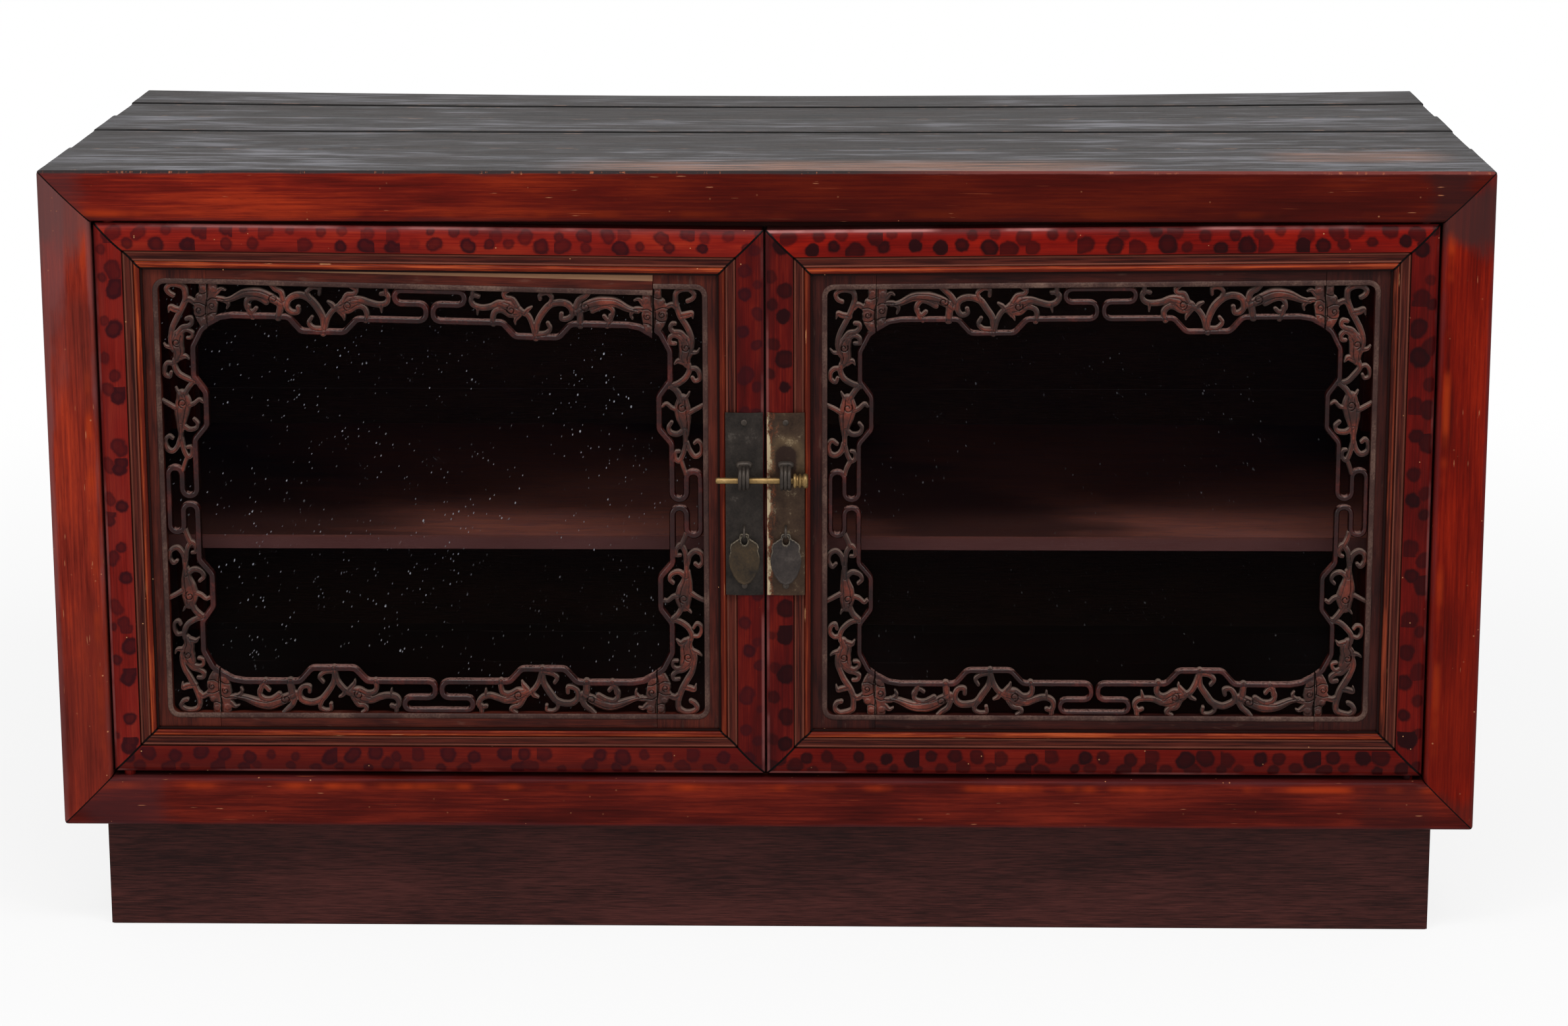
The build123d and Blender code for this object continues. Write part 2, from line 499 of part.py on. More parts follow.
class Field:
    """The carved field of the left door: maps a quarter's motifs onto the real, tapering opening."""

    def __init__(self, corners: list[Point]) -> None:
        """Hold the opening's corners, counter-clockwise from the lower hinge side."""
        self.x0, self.z0 = corners[0]
        self.x1 = corners[1][0]
        self.z_hinge, self.z_lock = corners[3][1], corners[2][1]
        self.stretch = (self.x1 - self.x0) / 2 / DRAWN_HALF_WIDTH

    def top_at(self, x: float) -> float:
        """Return the opening's upper edge at x."""
        return self.z_hinge + (self.z_lock - self.z_hinge) * (x - self.x0) / (self.x1 - self.x0)

    def place(self, point: Point, at_lock: bool, at_top: bool) -> Point:
        """Map a quarter's point to the door."""
        x = self.x1 - point[0] * self.stretch if at_lock else self.x0 + point[0] * self.stretch
        top = self.top_at(x)
        down = point[1] * (top - self.z0) / 2 / DRAWN_HALF_HEIGHT
        return (x, top - down) if at_top else (x, self.z0 + down)

    def quarter(self, at_lock: bool, at_top: bool, lowest: float, highest: float) -> list[Sketch]:
        """Return one quarter's strokes that reach the span from lowest to highest across."""
        faces = []
        for half_widths, points in STROKES:
            if min(p[0] for p in points) < highest and max(p[0] for p in points) > lowest:
                first, last = half_widths
                faces.append(scroll([self.place(p, at_lock, at_top) for p in points],
                                    (first * self.stretch, last * self.stretch)))
        line = [self.place(p, at_lock, at_top) for p in INNER_LINE]
        faces.append(band(line, INNER_LINE_WIDTH, INNER_LINE_RADIUS))
        faces.append(polygon([self.place(p, at_lock, at_top) for p in CORNER_MASK]))
        return faces


def make_openwork(corners: list[Point]) -> dict[str, Part]:
    """Return the four openwork strips of the left door, inside the door's outline."""
    rebate = inset_corners(corners, REBATE + PANEL_PLAY)
    bead_out = inset_corners(corners, DOOR_FACE + BORDER_WIDTH)
    field_corners = inset_corners(corners, DOOR_FACE + BORDER_WIDTH + PANEL_BEAD_WIDTH)
    field = Field(field_corners)
    joint = DRAWN_SIDE_REACH * field.stretch + INNER_LINE_WIDTH / 2 + STRIP_JOINT_CLEARANCE
    x_low, x_high = field.x0 + joint, field.x1 - joint
    drawn_joint = joint / field.stretch
    z_mid = (field.z0 + (field.z_hinge + field.z_lock) / 2) / 2
    far = OVERCUT
    regions = {
        "hinge": (rebate[0][0] - far, x_low, rebate[0][1] - far, rebate[3][1] + far),
        "lock": (x_high, rebate[1][0] + far, rebate[0][1] - far, rebate[3][1] + far),
        "top": (x_low, x_high, z_mid, rebate[3][1] + far),
        "bottom": (x_low, x_high, rebate[0][1] - far, z_mid),
    }
    opening = polygon(field_corners)
    opening = fillet(opening.vertices(), FIELD_CORNER_RADIUS)
    bead_edge = fillet(polygon(bead_out).vertices(), FIELD_CORNER_RADIUS + PANEL_BEAD_WIDTH)
    border = polygon(rebate) - opening
    bead = bead_edge - opening
    y_panel_back = Y_DOOR_FACE + PANEL_DROP + PANEL_THICK
    carving_thick = PANEL_THICK - CARVING_DROP - CARVING_BACK
    strips = {}
    for name, (x0, x1, z0, z1) in regions.items():
        window = polygon([(x0, z0), (x1, z0), (x1, z1), (x0, z1)])
        strokes: list[Sketch] = []
        for at_lock in (False, True):
            for at_top in (False, True):
                wanted_side = {"hinge": not at_lock, "lock": at_lock}.get(name, True)
                wanted_end = {"top": at_top, "bottom": not at_top}.get(name, True)
                if wanted_side and wanted_end:
                    upright_strip = name in ("hinge", "lock")
                    span = (-OVERCUT, drawn_joint) if upright_strip else (drawn_joint, DRAWN_HALF_WIDTH)
                    strokes += field.quarter(at_lock, at_top, *span)
        if name in ("hinge", "lock"):
            ends = [field.place(MIDDLE_FRET[1], name == "lock", at_top) for at_top in (False, True)]
            strokes.append(scroll(ends, (FRET_WIDTH / 2, FRET_WIDTH / 2)))
        carving = strokes[0].fuse(*strokes[1:]) & window & polygon(bead_out)
        strip = upright(border & window, y_panel_back, PANEL_THICK)
        strip += upright(bead & window, y_panel_back, PANEL_THICK + PANEL_BEAD_HEIGHT)
        strip += upright(carving, y_panel_back - CARVING_BACK, carving_thick)
        strips[name] = strip
    return strips


# ---------------------------------------------------------------- doors and hardware
def plate_outline(thick: float) -> Sketch:
    """Plan section of the right door's plate, as a curved strip of the given thickness."""
    x0, x1 = PLATE_X - PLATE_WIDTH / 2, PLATE_X + PLATE_WIDTH / 2
    crown, edge = Y_DOOR_FACE + PLATE_SINK, Y_DOOR_FACE + PLATE_SINK + PLATE_CROWN
    return make_face([
        ThreePointArc((x0, edge), (PLATE_X, crown), (x1, edge)),
        Line((x1, edge), (x1, edge - thick)),
        ThreePointArc((x1, edge - thick), (PLATE_X, crown - thick), (x0, edge - thick)),
        Line((x0, edge - thick), (x0, edge)),
    ])


def plate_solid(thick: float) -> Part:
    """Return the right door's plate, or a thicker cutter of the same back."""
    sketch = Pos(0, 0, PLATE_TOP - PLATE_HEIGHT) * plate_outline(thick)
    return extrude(sketch, amount=PLATE_HEIGHT)


def loop_solid() -> Part:
    """Return the right door's pin loop: a doubled band bent round, with its legs in the stile."""
    x0, x1 = PLATE_X - LOOP_WIDTH / 2, PLATE_X + LOOP_WIDTH / 2
    y_leg = Y_PLATE_CROWN + PLATE_THICK + LOOP_LEG_DEPTH

    def bent(radius: float, y_end: float) -> Sketch:
        low, high = Z_LOOP - radius, Z_LOOP + radius
        return make_face([ThreePointArc((Y_PIN, low), (Y_PIN - radius, Z_LOOP), (Y_PIN, high)),
                          Polyline((Y_PIN, high), (y_end, high), (y_end, low), (Y_PIN, low))])

    loop = along_x(bent(LOOP_RADIUS, y_leg), x0, x1)
    loop -= along_x(bent(LOOP_HOLE_RADIUS, y_leg + OVERCUT), x0, x1)
    skin = bent(LOOP_RADIUS + LOOP_GROOVE, Y_PLATE_CROWN)
    skin -= bent(LOOP_RADIUS - LOOP_GROOVE, Y_PLATE_CROWN + OVERCUT)
    return loop - along_x(skin, PLATE_X - LOOP_GROOVE / 2, PLATE_X + LOOP_GROOVE / 2)


def staple_solid() -> Part:
    """Return the right door's pull staple: a bent wire with two legs in the stile."""
    y_leg = Y_PLATE_CROWN + PLATE_THICK + PULL_LEG_DEPTH
    radius = PULL_RING_RADIUS
    path = Wire([
        Line((PLATE_X, y_leg, Z_PULL - radius), (PLATE_X, Y_PULL, Z_PULL - radius)).edge(),
        ThreePointArc((PLATE_X, Y_PULL, Z_PULL - radius), (PLATE_X, Y_PULL - radius, Z_PULL),
                      (PLATE_X, Y_PULL, Z_PULL + radius)).edge(),
        Line((PLATE_X, Y_PULL, Z_PULL + radius), (PLATE_X, y_leg, Z_PULL + radius)).edge(),
    ])
    start = Plane(origin=path @ 0, z_dir=path % 0)
    return sweep(start * Circle(PULL_WIRE_RADIUS), path=path)


def pull_solid() -> Part:
    """Return the right door's leaf-shaped pull, hanging with its eye round the staple's wire."""
    z_eye = Z_PULL - PULL_RING_RADIUS + PULL_WIRE_RADIUS + PULL_PLAY
    half, neck = PULL_WIDTH / 2, PULL_NECK_HALF
    z_crown, z_tip = z_eye + PULL_RIM, z_eye - PULL_HEIGHT
    z_shoulder, z_waist = z_eye - PULL_SHOULDER_DROP, z_eye - PULL_WAIST_DROP
    z_belly, z_point = z_eye - PULL_BELLY_DROP, z_eye - PULL_POINT_DROP
    neck_end, shoulder = (neck, z_eye - PULL_RIM), (PULL_SHOULDER_HALF, z_shoulder)
    hollow = ((neck + PULL_SHOULDER_HALF - PULL_RIM) / 2, (z_eye + z_shoulder) / 2)
    lobe = (max(PULL_SHOULDER_HALF, PULL_WAIST_HALF) + PULL_RIM / 4, (z_shoulder + z_waist) / 2)
    right_side = [
        Line((neck, z_crown), neck_end),
        ThreePointArc(neck_end, hollow, shoulder),
        ThreePointArc(shoulder, lobe, (PULL_WAIST_HALF, z_waist)),
        ThreePointArc((PULL_WAIST_HALF, z_waist), (half, z_belly), (PULL_POINT_HALF, z_point)),
        Line((PULL_POINT_HALF, z_point), (0, z_tip)),
    ]
    left_side = [mirror(edge, about=Plane.YZ) for edge in right_side]
    leaf = make_face([*right_side, *left_side, Line((-neck, z_crown), (neck, z_crown))])
    eye = RectangleRounded(2 * PULL_EYE_HALF, PULL_EYE_HEIGHT, PULL_EYE_HALF - PULL_PLAY)
    leaf -= Pos(0, z_eye - PULL_EYE_HEIGHT / 2) * eye
    return Pos(PLATE_X, 0, 0) * upright(leaf, Y_PULL + PULL_THICK / 2, PULL_THICK)


def make_doors() -> None:
    """Both doors with their openwork, glass and hardware."""
    corners = [(-DOOR_OUTER, Z_DOOR_LOW), (-DOOR_INNER, Z_DOOR_LOW), (-DOOR_INNER, Z_DOOR_LOCK_TOP),
               (-DOOR_OUTER, Z_DOOR_HINGE_TOP)]
    names = ("bottom_rail", "lock_stile", "top_rail", "hinge_stile")
    door = {name: mitred_bar(corners, index, door_section(), DOOR_FACE, Y_DOOR_BACK, DOOR_THICK)
            for index, name in enumerate(names)}

    z_low, z_high = Z_OPEN_LOW - PIVOT_ENGAGEMENT, Z_OPEN_HIGH + PIVOT_ENGAGEMENT
    root = DOOR_FACE
    low_pivot = (-PIVOT_X, PIVOT_Y, z_low, Z_DOOR_LOW + root)
    high_pivot = (-PIVOT_X, PIVOT_Y, Z_DOOR_HINGE_TOP - root, z_high)
    for pivot in (low_pivot, high_pivot):
        door["hinge_stile"] += column(*pivot, PIVOT_RADIUS)
    door["bottom_rail"] -= column(*low_pivot, PIVOT_RADIUS + PIVOT_CLEARANCE)
    door["top_rail"] -= column(*high_pivot, PIVOT_RADIUS + PIVOT_CLEARANCE)

    for name, strip in make_openwork(corners).items():
        door[f"{name}_openwork"] = strip
    y_glass = Y_DOOR_FACE + PANEL_DROP + PANEL_THICK + GLASS_THICK
    door["glass"] = upright(polygon(inset_corners(corners, REBATE + PANEL_PLAY)), y_glass, GLASS_THICK)
    rebate = inset_corners(corners, REBATE)
    bead_thick = Y_DOOR_BACK - y_glass
    bead_section = Pos(GLAZING_BEAD_WIDTH / 2, bead_thick / 2) * Rectangle(GLAZING_BEAD_WIDTH, bead_thick)
    door["glazing_beads"] = Compound(children=[
        mitred_bar(rebate, index, bead_section, GLAZING_BEAD_WIDTH, Y_DOOR_BACK, bead_thick)
        for index in range(len(rebate))])
    for name, shape in door.items():
        parts[f"left_{name}"] = shape
        parts[f"right_{name}"] = mirrored(shape)

    loop, staple, pull = loop_solid(), staple_solid(), pull_solid()
    hole_length = OVERCUT + NAIL_LENGTH
    z_nails = (PLATE_TOP - NAIL_INSET, PLATE_TOP - PLATE_HEIGHT + NAIL_INSET)
    nails, nail_holes = [], []
    for z in z_nails:
        head = peg(PLATE_X, z, Y_PLATE_CROWN - NAIL_HEAD_HEIGHT, NAIL_HEAD_HEIGHT, NAIL_HEAD_RADIUS)
        head = fillet(head.edges().sort_by(Axis.Y)[0], NAIL_HEAD_ROUND)
        nails.append(head + peg(PLATE_X, z, Y_PLATE_CROWN, NAIL_LENGTH, NAIL_SHANK_RADIUS))
        nail_holes.append(peg(PLATE_X, z, Y_PLATE_CROWN - OVERCUT, hole_length,
                              NAIL_SHANK_RADIUS + NAIL_PLAY))
    leg_holes = [block(PLATE_X - LOOP_WIDTH / 2, PLATE_X + LOOP_WIDTH / 2, Y_PLATE_CROWN - OVERCUT,
                       Y_PLATE_CROWN + PLATE_THICK + LOOP_LEG_DEPTH, Z_LOOP + side * LOOP_HOLE_RADIUS,
                       Z_LOOP + side * LOOP_RADIUS) for side in (-1, 1)]
    wire_length = OVERCUT + PLATE_THICK + PULL_LEG_DEPTH
    wire_holes = [peg(PLATE_X, Z_PULL + side * PULL_RING_RADIUS, Y_PLATE_CROWN - OVERCUT,
                      wire_length, PULL_WIRE_RADIUS + NAIL_PLAY) for side in (-1, 1)]
    holes = nail_holes + leg_holes + wire_holes
    plate, seat = plate_solid(PLATE_THICK), plate_solid(OVERCUT)
    for hole in holes:
        plate -= hole
        seat += hole
    parts["right_lock_stile"] -= seat
    parts["left_lock_stile"] -= mirrored(seat)
    hardware = {"lock_plate": plate, "plate_nails": Compound(children=nails), "pin_loop": loop,
                "pull_staple": staple, "pull": pull}
    for name, shape in hardware.items():
        parts[f"right_{name}"] = shape
        parts[f"left_{name}"] = mirrored(shape)


def make_lock_pin() -> None:
    """The round pin with its turned knob, pushed through both loops from the right."""
    knob_start = PLATE_X + LOOP_WIDTH / 2 + KNOB_GAP
    rod = Cylinder(PIN_RADIUS, knob_start + PIN_OVERHANG)
    rod = fillet(rod.edges().sort_by(Axis.Z)[0], PIN_TIP_ROUND)
    knob = Cylinder(KNOB_RADIUS, KNOB_LENGTH)
    pin = Pos((knob_start - PIN_OVERHANG) / 2, Y_PIN, Z_PIN) * Rot(0, 90, 0) * rod
    pin += Pos(knob_start + KNOB_LENGTH / 2, Y_PIN, Z_PIN) * Rot(0, 90, 0) * knob
    ring_pitch = KNOB_LENGTH / (KNOB_RINGS + 1)
    for n in range(KNOB_RINGS):
        centre = Pos(knob_start + (n + 1) * ring_pitch, Y_PIN, Z_PIN) * Rot(0, 90, 0)
        pin -= centre * Torus(KNOB_RADIUS, KNOB_RING_GROOVE)
    parts["lock_pin"] = pin


def write_parts() -> None:
    """Write every sub-part to its own STEP file."""
    os.makedirs("parts", exist_ok=True)
    for name, shape in parts.items():
        export_step(shape, f"parts/{name}.step")


make_front_frame()
make_carcass()
make_shelf_and_stops()
make_plinth()
make_doors()
make_lock_pin()
write_parts()
print(f"{len(parts)} parts, pivot axes at x = +-{PIVOT_X:.3f}, y = {PIVOT_Y:.3f}")
print(f"lock pin travel {PIN_TRAVEL:.1f}")
print(f"pull axis at y = {Y_PULL:.3f}, z = {Z_PULL:.3f}, x = +-{PLATE_X:.3f}")
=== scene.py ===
"""Two-door book cabinet with openwork carved door panels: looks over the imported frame.

Metres, +Z up, the front faces -Y and +X runs to the right of a person who faces the doors. Shapes and
patterns are drawn in millimetres and turned into metres where a mesh or a node takes them.
"""
import json
import logging
from dataclasses import dataclass, field
from enum import Enum
from math import copysign, cos, pi, radians, sin
from typing import Callable, Iterable, Sequence

import bmesh
import bpy
import numpy as np
from mathutils import Matrix, Vector


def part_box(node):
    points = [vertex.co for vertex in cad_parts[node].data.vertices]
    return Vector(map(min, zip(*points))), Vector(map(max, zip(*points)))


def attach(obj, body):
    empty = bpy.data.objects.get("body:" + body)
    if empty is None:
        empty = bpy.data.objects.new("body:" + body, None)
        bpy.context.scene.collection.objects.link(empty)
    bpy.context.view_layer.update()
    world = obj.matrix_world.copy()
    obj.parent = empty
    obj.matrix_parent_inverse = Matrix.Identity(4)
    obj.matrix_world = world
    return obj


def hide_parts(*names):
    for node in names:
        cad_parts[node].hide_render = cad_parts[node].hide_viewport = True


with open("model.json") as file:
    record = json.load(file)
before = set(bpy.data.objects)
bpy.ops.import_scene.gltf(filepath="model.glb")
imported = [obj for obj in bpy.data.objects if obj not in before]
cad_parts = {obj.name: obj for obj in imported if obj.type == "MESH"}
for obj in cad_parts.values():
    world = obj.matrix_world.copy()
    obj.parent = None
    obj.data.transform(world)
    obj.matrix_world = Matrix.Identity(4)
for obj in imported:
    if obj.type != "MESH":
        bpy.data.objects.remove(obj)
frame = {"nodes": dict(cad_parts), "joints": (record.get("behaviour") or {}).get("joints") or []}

log = logging.getLogger("book_cabinet")
MM = 0.001
Point = tuple[float, float]
Colour = tuple[float, float, float, float]
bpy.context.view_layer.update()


# ---------------------------------------------------------------- shader maths
def srgb(red: float, green: float, blue: float) -> Colour:
    """Return the linear colour of three 0-255 display values."""
    def linear(value: float) -> float:
        """Return one linear channel."""
        share = value / 255
        return share / 12.92 if share <= 0.04045 else ((share + 0.055) / 1.055) ** 2.4

    return linear(red), linear(green), linear(blue), 1.0


def operator(operation: str, swapped: bool = False) -> Callable[..., "Signal"]:
    """Return a method that adds a Math node for a signal and other numbers."""
    def apply(self: "Signal", *others: "Number") -> "Signal":
        """Return the result of the node."""
        values = (self, *others)
        return self.tree.math(operation, *(values[::-1] if swapped else values))

    return apply


class Signal:
    """A number that varies over a surface. Its operators add Math nodes."""

    def __init__(self, tree: "NodeTree", socket: bpy.types.NodeSocket) -> None:
        """Wrap an output socket of a tree."""
        self.tree = tree
        self.socket = socket

    __add__ = __radd__ = operator("ADD")
    __mul__ = __rmul__ = operator("MULTIPLY")
    __sub__ = operator("SUBTRACT")
    __rsub__ = operator("SUBTRACT", swapped=True)
    __truediv__ = operator("DIVIDE")
    __abs__ = operator("ABSOLUTE")
    least = operator("MINIMUM")
    most = operator("MAXIMUM")

    def rise(self, low: "Number", high: "Number") -> "Signal":
        """Return 0 below low and 1 above high, with a soft step between them."""
        node = self.tree.node("ShaderNodeMapRange", {"interpolation_type": "SMOOTHSTEP"},
                              {"Value": self, "From Min": low, "From Max": high})
        return Signal(self.tree, node.outputs[0])

    def between(self, low: float, high: float, soft: float) -> "Signal":
        """Return 1 between two levels and 0 outside them."""
        return self.rise(low - soft, low + soft) * (1 - self.rise(high - soft, high + soft))


Number = float | Signal
Feed = float | tuple | Signal | bpy.types.NodeSocket | bpy.types.Node
Place = tuple[Number, ...]


class NodeTree:
    """A node tree, to which nodes are added with their settings and sockets."""

    def __init__(self, tree: bpy.types.NodeTree) -> None:
        """Take over a tree and empty it."""
        self.tree = tree
        tree.nodes.clear()

    def link(self, value: Feed, target: bpy.types.NodeSocket) -> None:
        """Link a signal, a socket or a node's first output to a socket, or set the socket's number."""
        source = value.outputs[0] if isinstance(value, bpy.types.Node) else getattr(value, "socket", value)
        if isinstance(source, bpy.types.NodeSocket):
            self.tree.links.new(source, target)
        else:
            target.default_value = source

    def node(self, kind: str, settings: dict[str, object] | None = None,
             sockets: dict[str | int, Feed] | None = None) -> bpy.types.Node:
        """Add a node.

        Args:
            kind: the node's type.
            settings: its properties, set first.
            sockets: values or links for its inputs.

        Returns:
            The new node.
        """
        node = self.tree.nodes.new(kind)
        for name, value in (settings or {}).items():
            setattr(node, name, value)
        for key, value in (sockets or {}).items():
            self.link(value, node.inputs[key])
        return node

    def math(self, operation: str, *values: Number) -> Signal:
        """Return the result of one Math node."""
        node = self.node("ShaderNodeMath", {"operation": operation}, dict(enumerate(values)))
        return Signal(self, node.outputs[0])

    def vector(self, x: Number, y: Number, z: Number = 0.0) -> bpy.types.NodeSocket:
        """Return a vector made of three numbers."""
        return self.node("ShaderNodeCombineXYZ", sockets={0: x, 1: y, 2: z}).outputs[0]

    def parts(self, source: bpy.types.NodeSocket, kind: str = "XYZ") -> tuple[Signal, Signal, Signal]:
        """Return the three numbers in a vector or, with the kind Color, in a colour."""
        node = self.node(f"ShaderNodeSeparate{kind}", sockets={0: source})
        return tuple(Signal(self, socket) for socket in node.outputs)


class Shade(NodeTree):
    """One material's node tree, with a Principled shader at its end."""

    def __init__(self, name: str, constants: dict[str, Feed]) -> None:
        """Start a material with values set on the shader's own sockets."""
        self.material = bpy.data.materials.new(name)
        self.material.use_nodes = True
        super().__init__(self.material.node_tree)
        self.surface = self.node("ShaderNodeBsdfPrincipled", sockets=constants)
        self.output = self.node("ShaderNodeOutputMaterial", sockets={"Surface": self.surface})
        self.base: Feed = 0.0

    def axes(self) -> tuple[Signal, Signal, Signal]:
        """Return the object's own x, y and z in millimetres."""
        place = self.node("ShaderNodeTexCoord").outputs["Object"]
        return tuple(part * (1 / MM) for part in self.parts(place))

    def noise(self, place: Place, detail: float = 3.0, roughness: float = 0.55) -> Signal:
        """Return cloudy noise between 0 and 1, about one blotch per unit of place."""
        sockets = {"Vector": self.vector(*place), "Scale": 1.0, "Detail": detail, "Roughness": roughness}
        node = self.node("ShaderNodeTexNoise", {"noise_dimensions": "3D"}, sockets)
        return Signal(self, node.outputs["Fac"])

    def cells(self, place: Place) -> tuple[Signal, Signal]:
        """Return the distance to the nearest scattered point and that point's own random number."""
        sockets = {"Vector": self.vector(*place), "Scale": 1.0}
        node = self.node("ShaderNodeTexVoronoi", {"feature": "F1"}, sockets)
        return Signal(self, node.outputs["Distance"]), self.parts(node.outputs["Color"], "Color")[0]

    def dice(self, x: Number, y: Number, seed: float) -> tuple[Signal, Signal, Signal]:
        """Return three random numbers for each whole pair of x and y."""
        sockets = {"Vector": self.vector(x, y, seed)}
        node = self.node("ShaderNodeTexWhiteNoise", {"noise_dimensions": "3D"}, sockets)
        return self.parts(node.outputs["Color"], "Color")

    def facing(self) -> tuple[Signal, Signal, Signal]:
        """Return the x, y and z of the surface's direction."""
        return self.parts(self.node("ShaderNodeNewGeometry").outputs["Normal"])

    def trait(self, name: str) -> Signal:
        """Return a number stored on the mesh."""
        return Signal(self, self.node("ShaderNodeAttribute", {"attribute_name": name}).outputs["Fac"])

    def mix(self, amount: Number, first: Feed, second: Feed) -> bpy.types.NodeSocket:
        """Return the colour between two colours."""
        node = self.node("ShaderNodeMix", {"data_type": "RGBA"}, {0: amount, 6: first, 7: second})
        return node.outputs[2]

    def ramp(self, value: Signal, *stops: tuple[float, Colour]) -> bpy.types.NodeSocket:
        """Return the colour of a value on a run of coloured stops."""
        node = self.node("ShaderNodeValToRGB", sockets={0: value})
        elements = node.color_ramp.elements
        while len(elements) < len(stops):
            elements.new(0.5)
        for element, (position, colour) in zip(elements, stops):
            element.position = position
            element.color = colour
        return node.outputs[0]

    def paint(self, amount: Number, colour: Feed) -> None:
        """Lay a colour over the base colour so far."""
        self.base = self.mix(amount, self.base, colour)

    def finish(self, roughness: Signal | None = None, height: Signal | None = None,
               **feeds: Signal) -> bpy.types.Material:
        """Link the shader's inputs.

        Args:
            roughness: how rough the surface is.
            height: relief in millimetres.
            feeds: metallic or alpha.

        Returns:
            The finished material.
        """
        feeds |= {"base_color": self.base}
        if roughness is not None:
            feeds["roughness"] = roughness
        if height is not None:
            sockets = {"Strength": 1.0, "Distance": MM, "Height": height}
            feeds["normal"] = self.node("ShaderNodeBump", sockets=sockets)
        for key, value in feeds.items():
            self.link(value, self.surface.inputs[key.replace("_", " ").title()])
        return self.material


# ---------------------------------------------------------------- finishes
class Run(Enum):
    """The way a member and its grain run."""

    ACROSS = "x"
    UP = "z"
    DEEP = "y"


def along_grain(shade: Shade, run: Run) -> tuple[Signal, Signal, Signal]:
    """Return millimetres along the grain and in the two directions across it."""
    x, y, z = shade.axes()
    return {Run.ACROSS: (x, z, y), Run.UP: (z, x, y), Run.DEEP: (y, x, z)}[run]


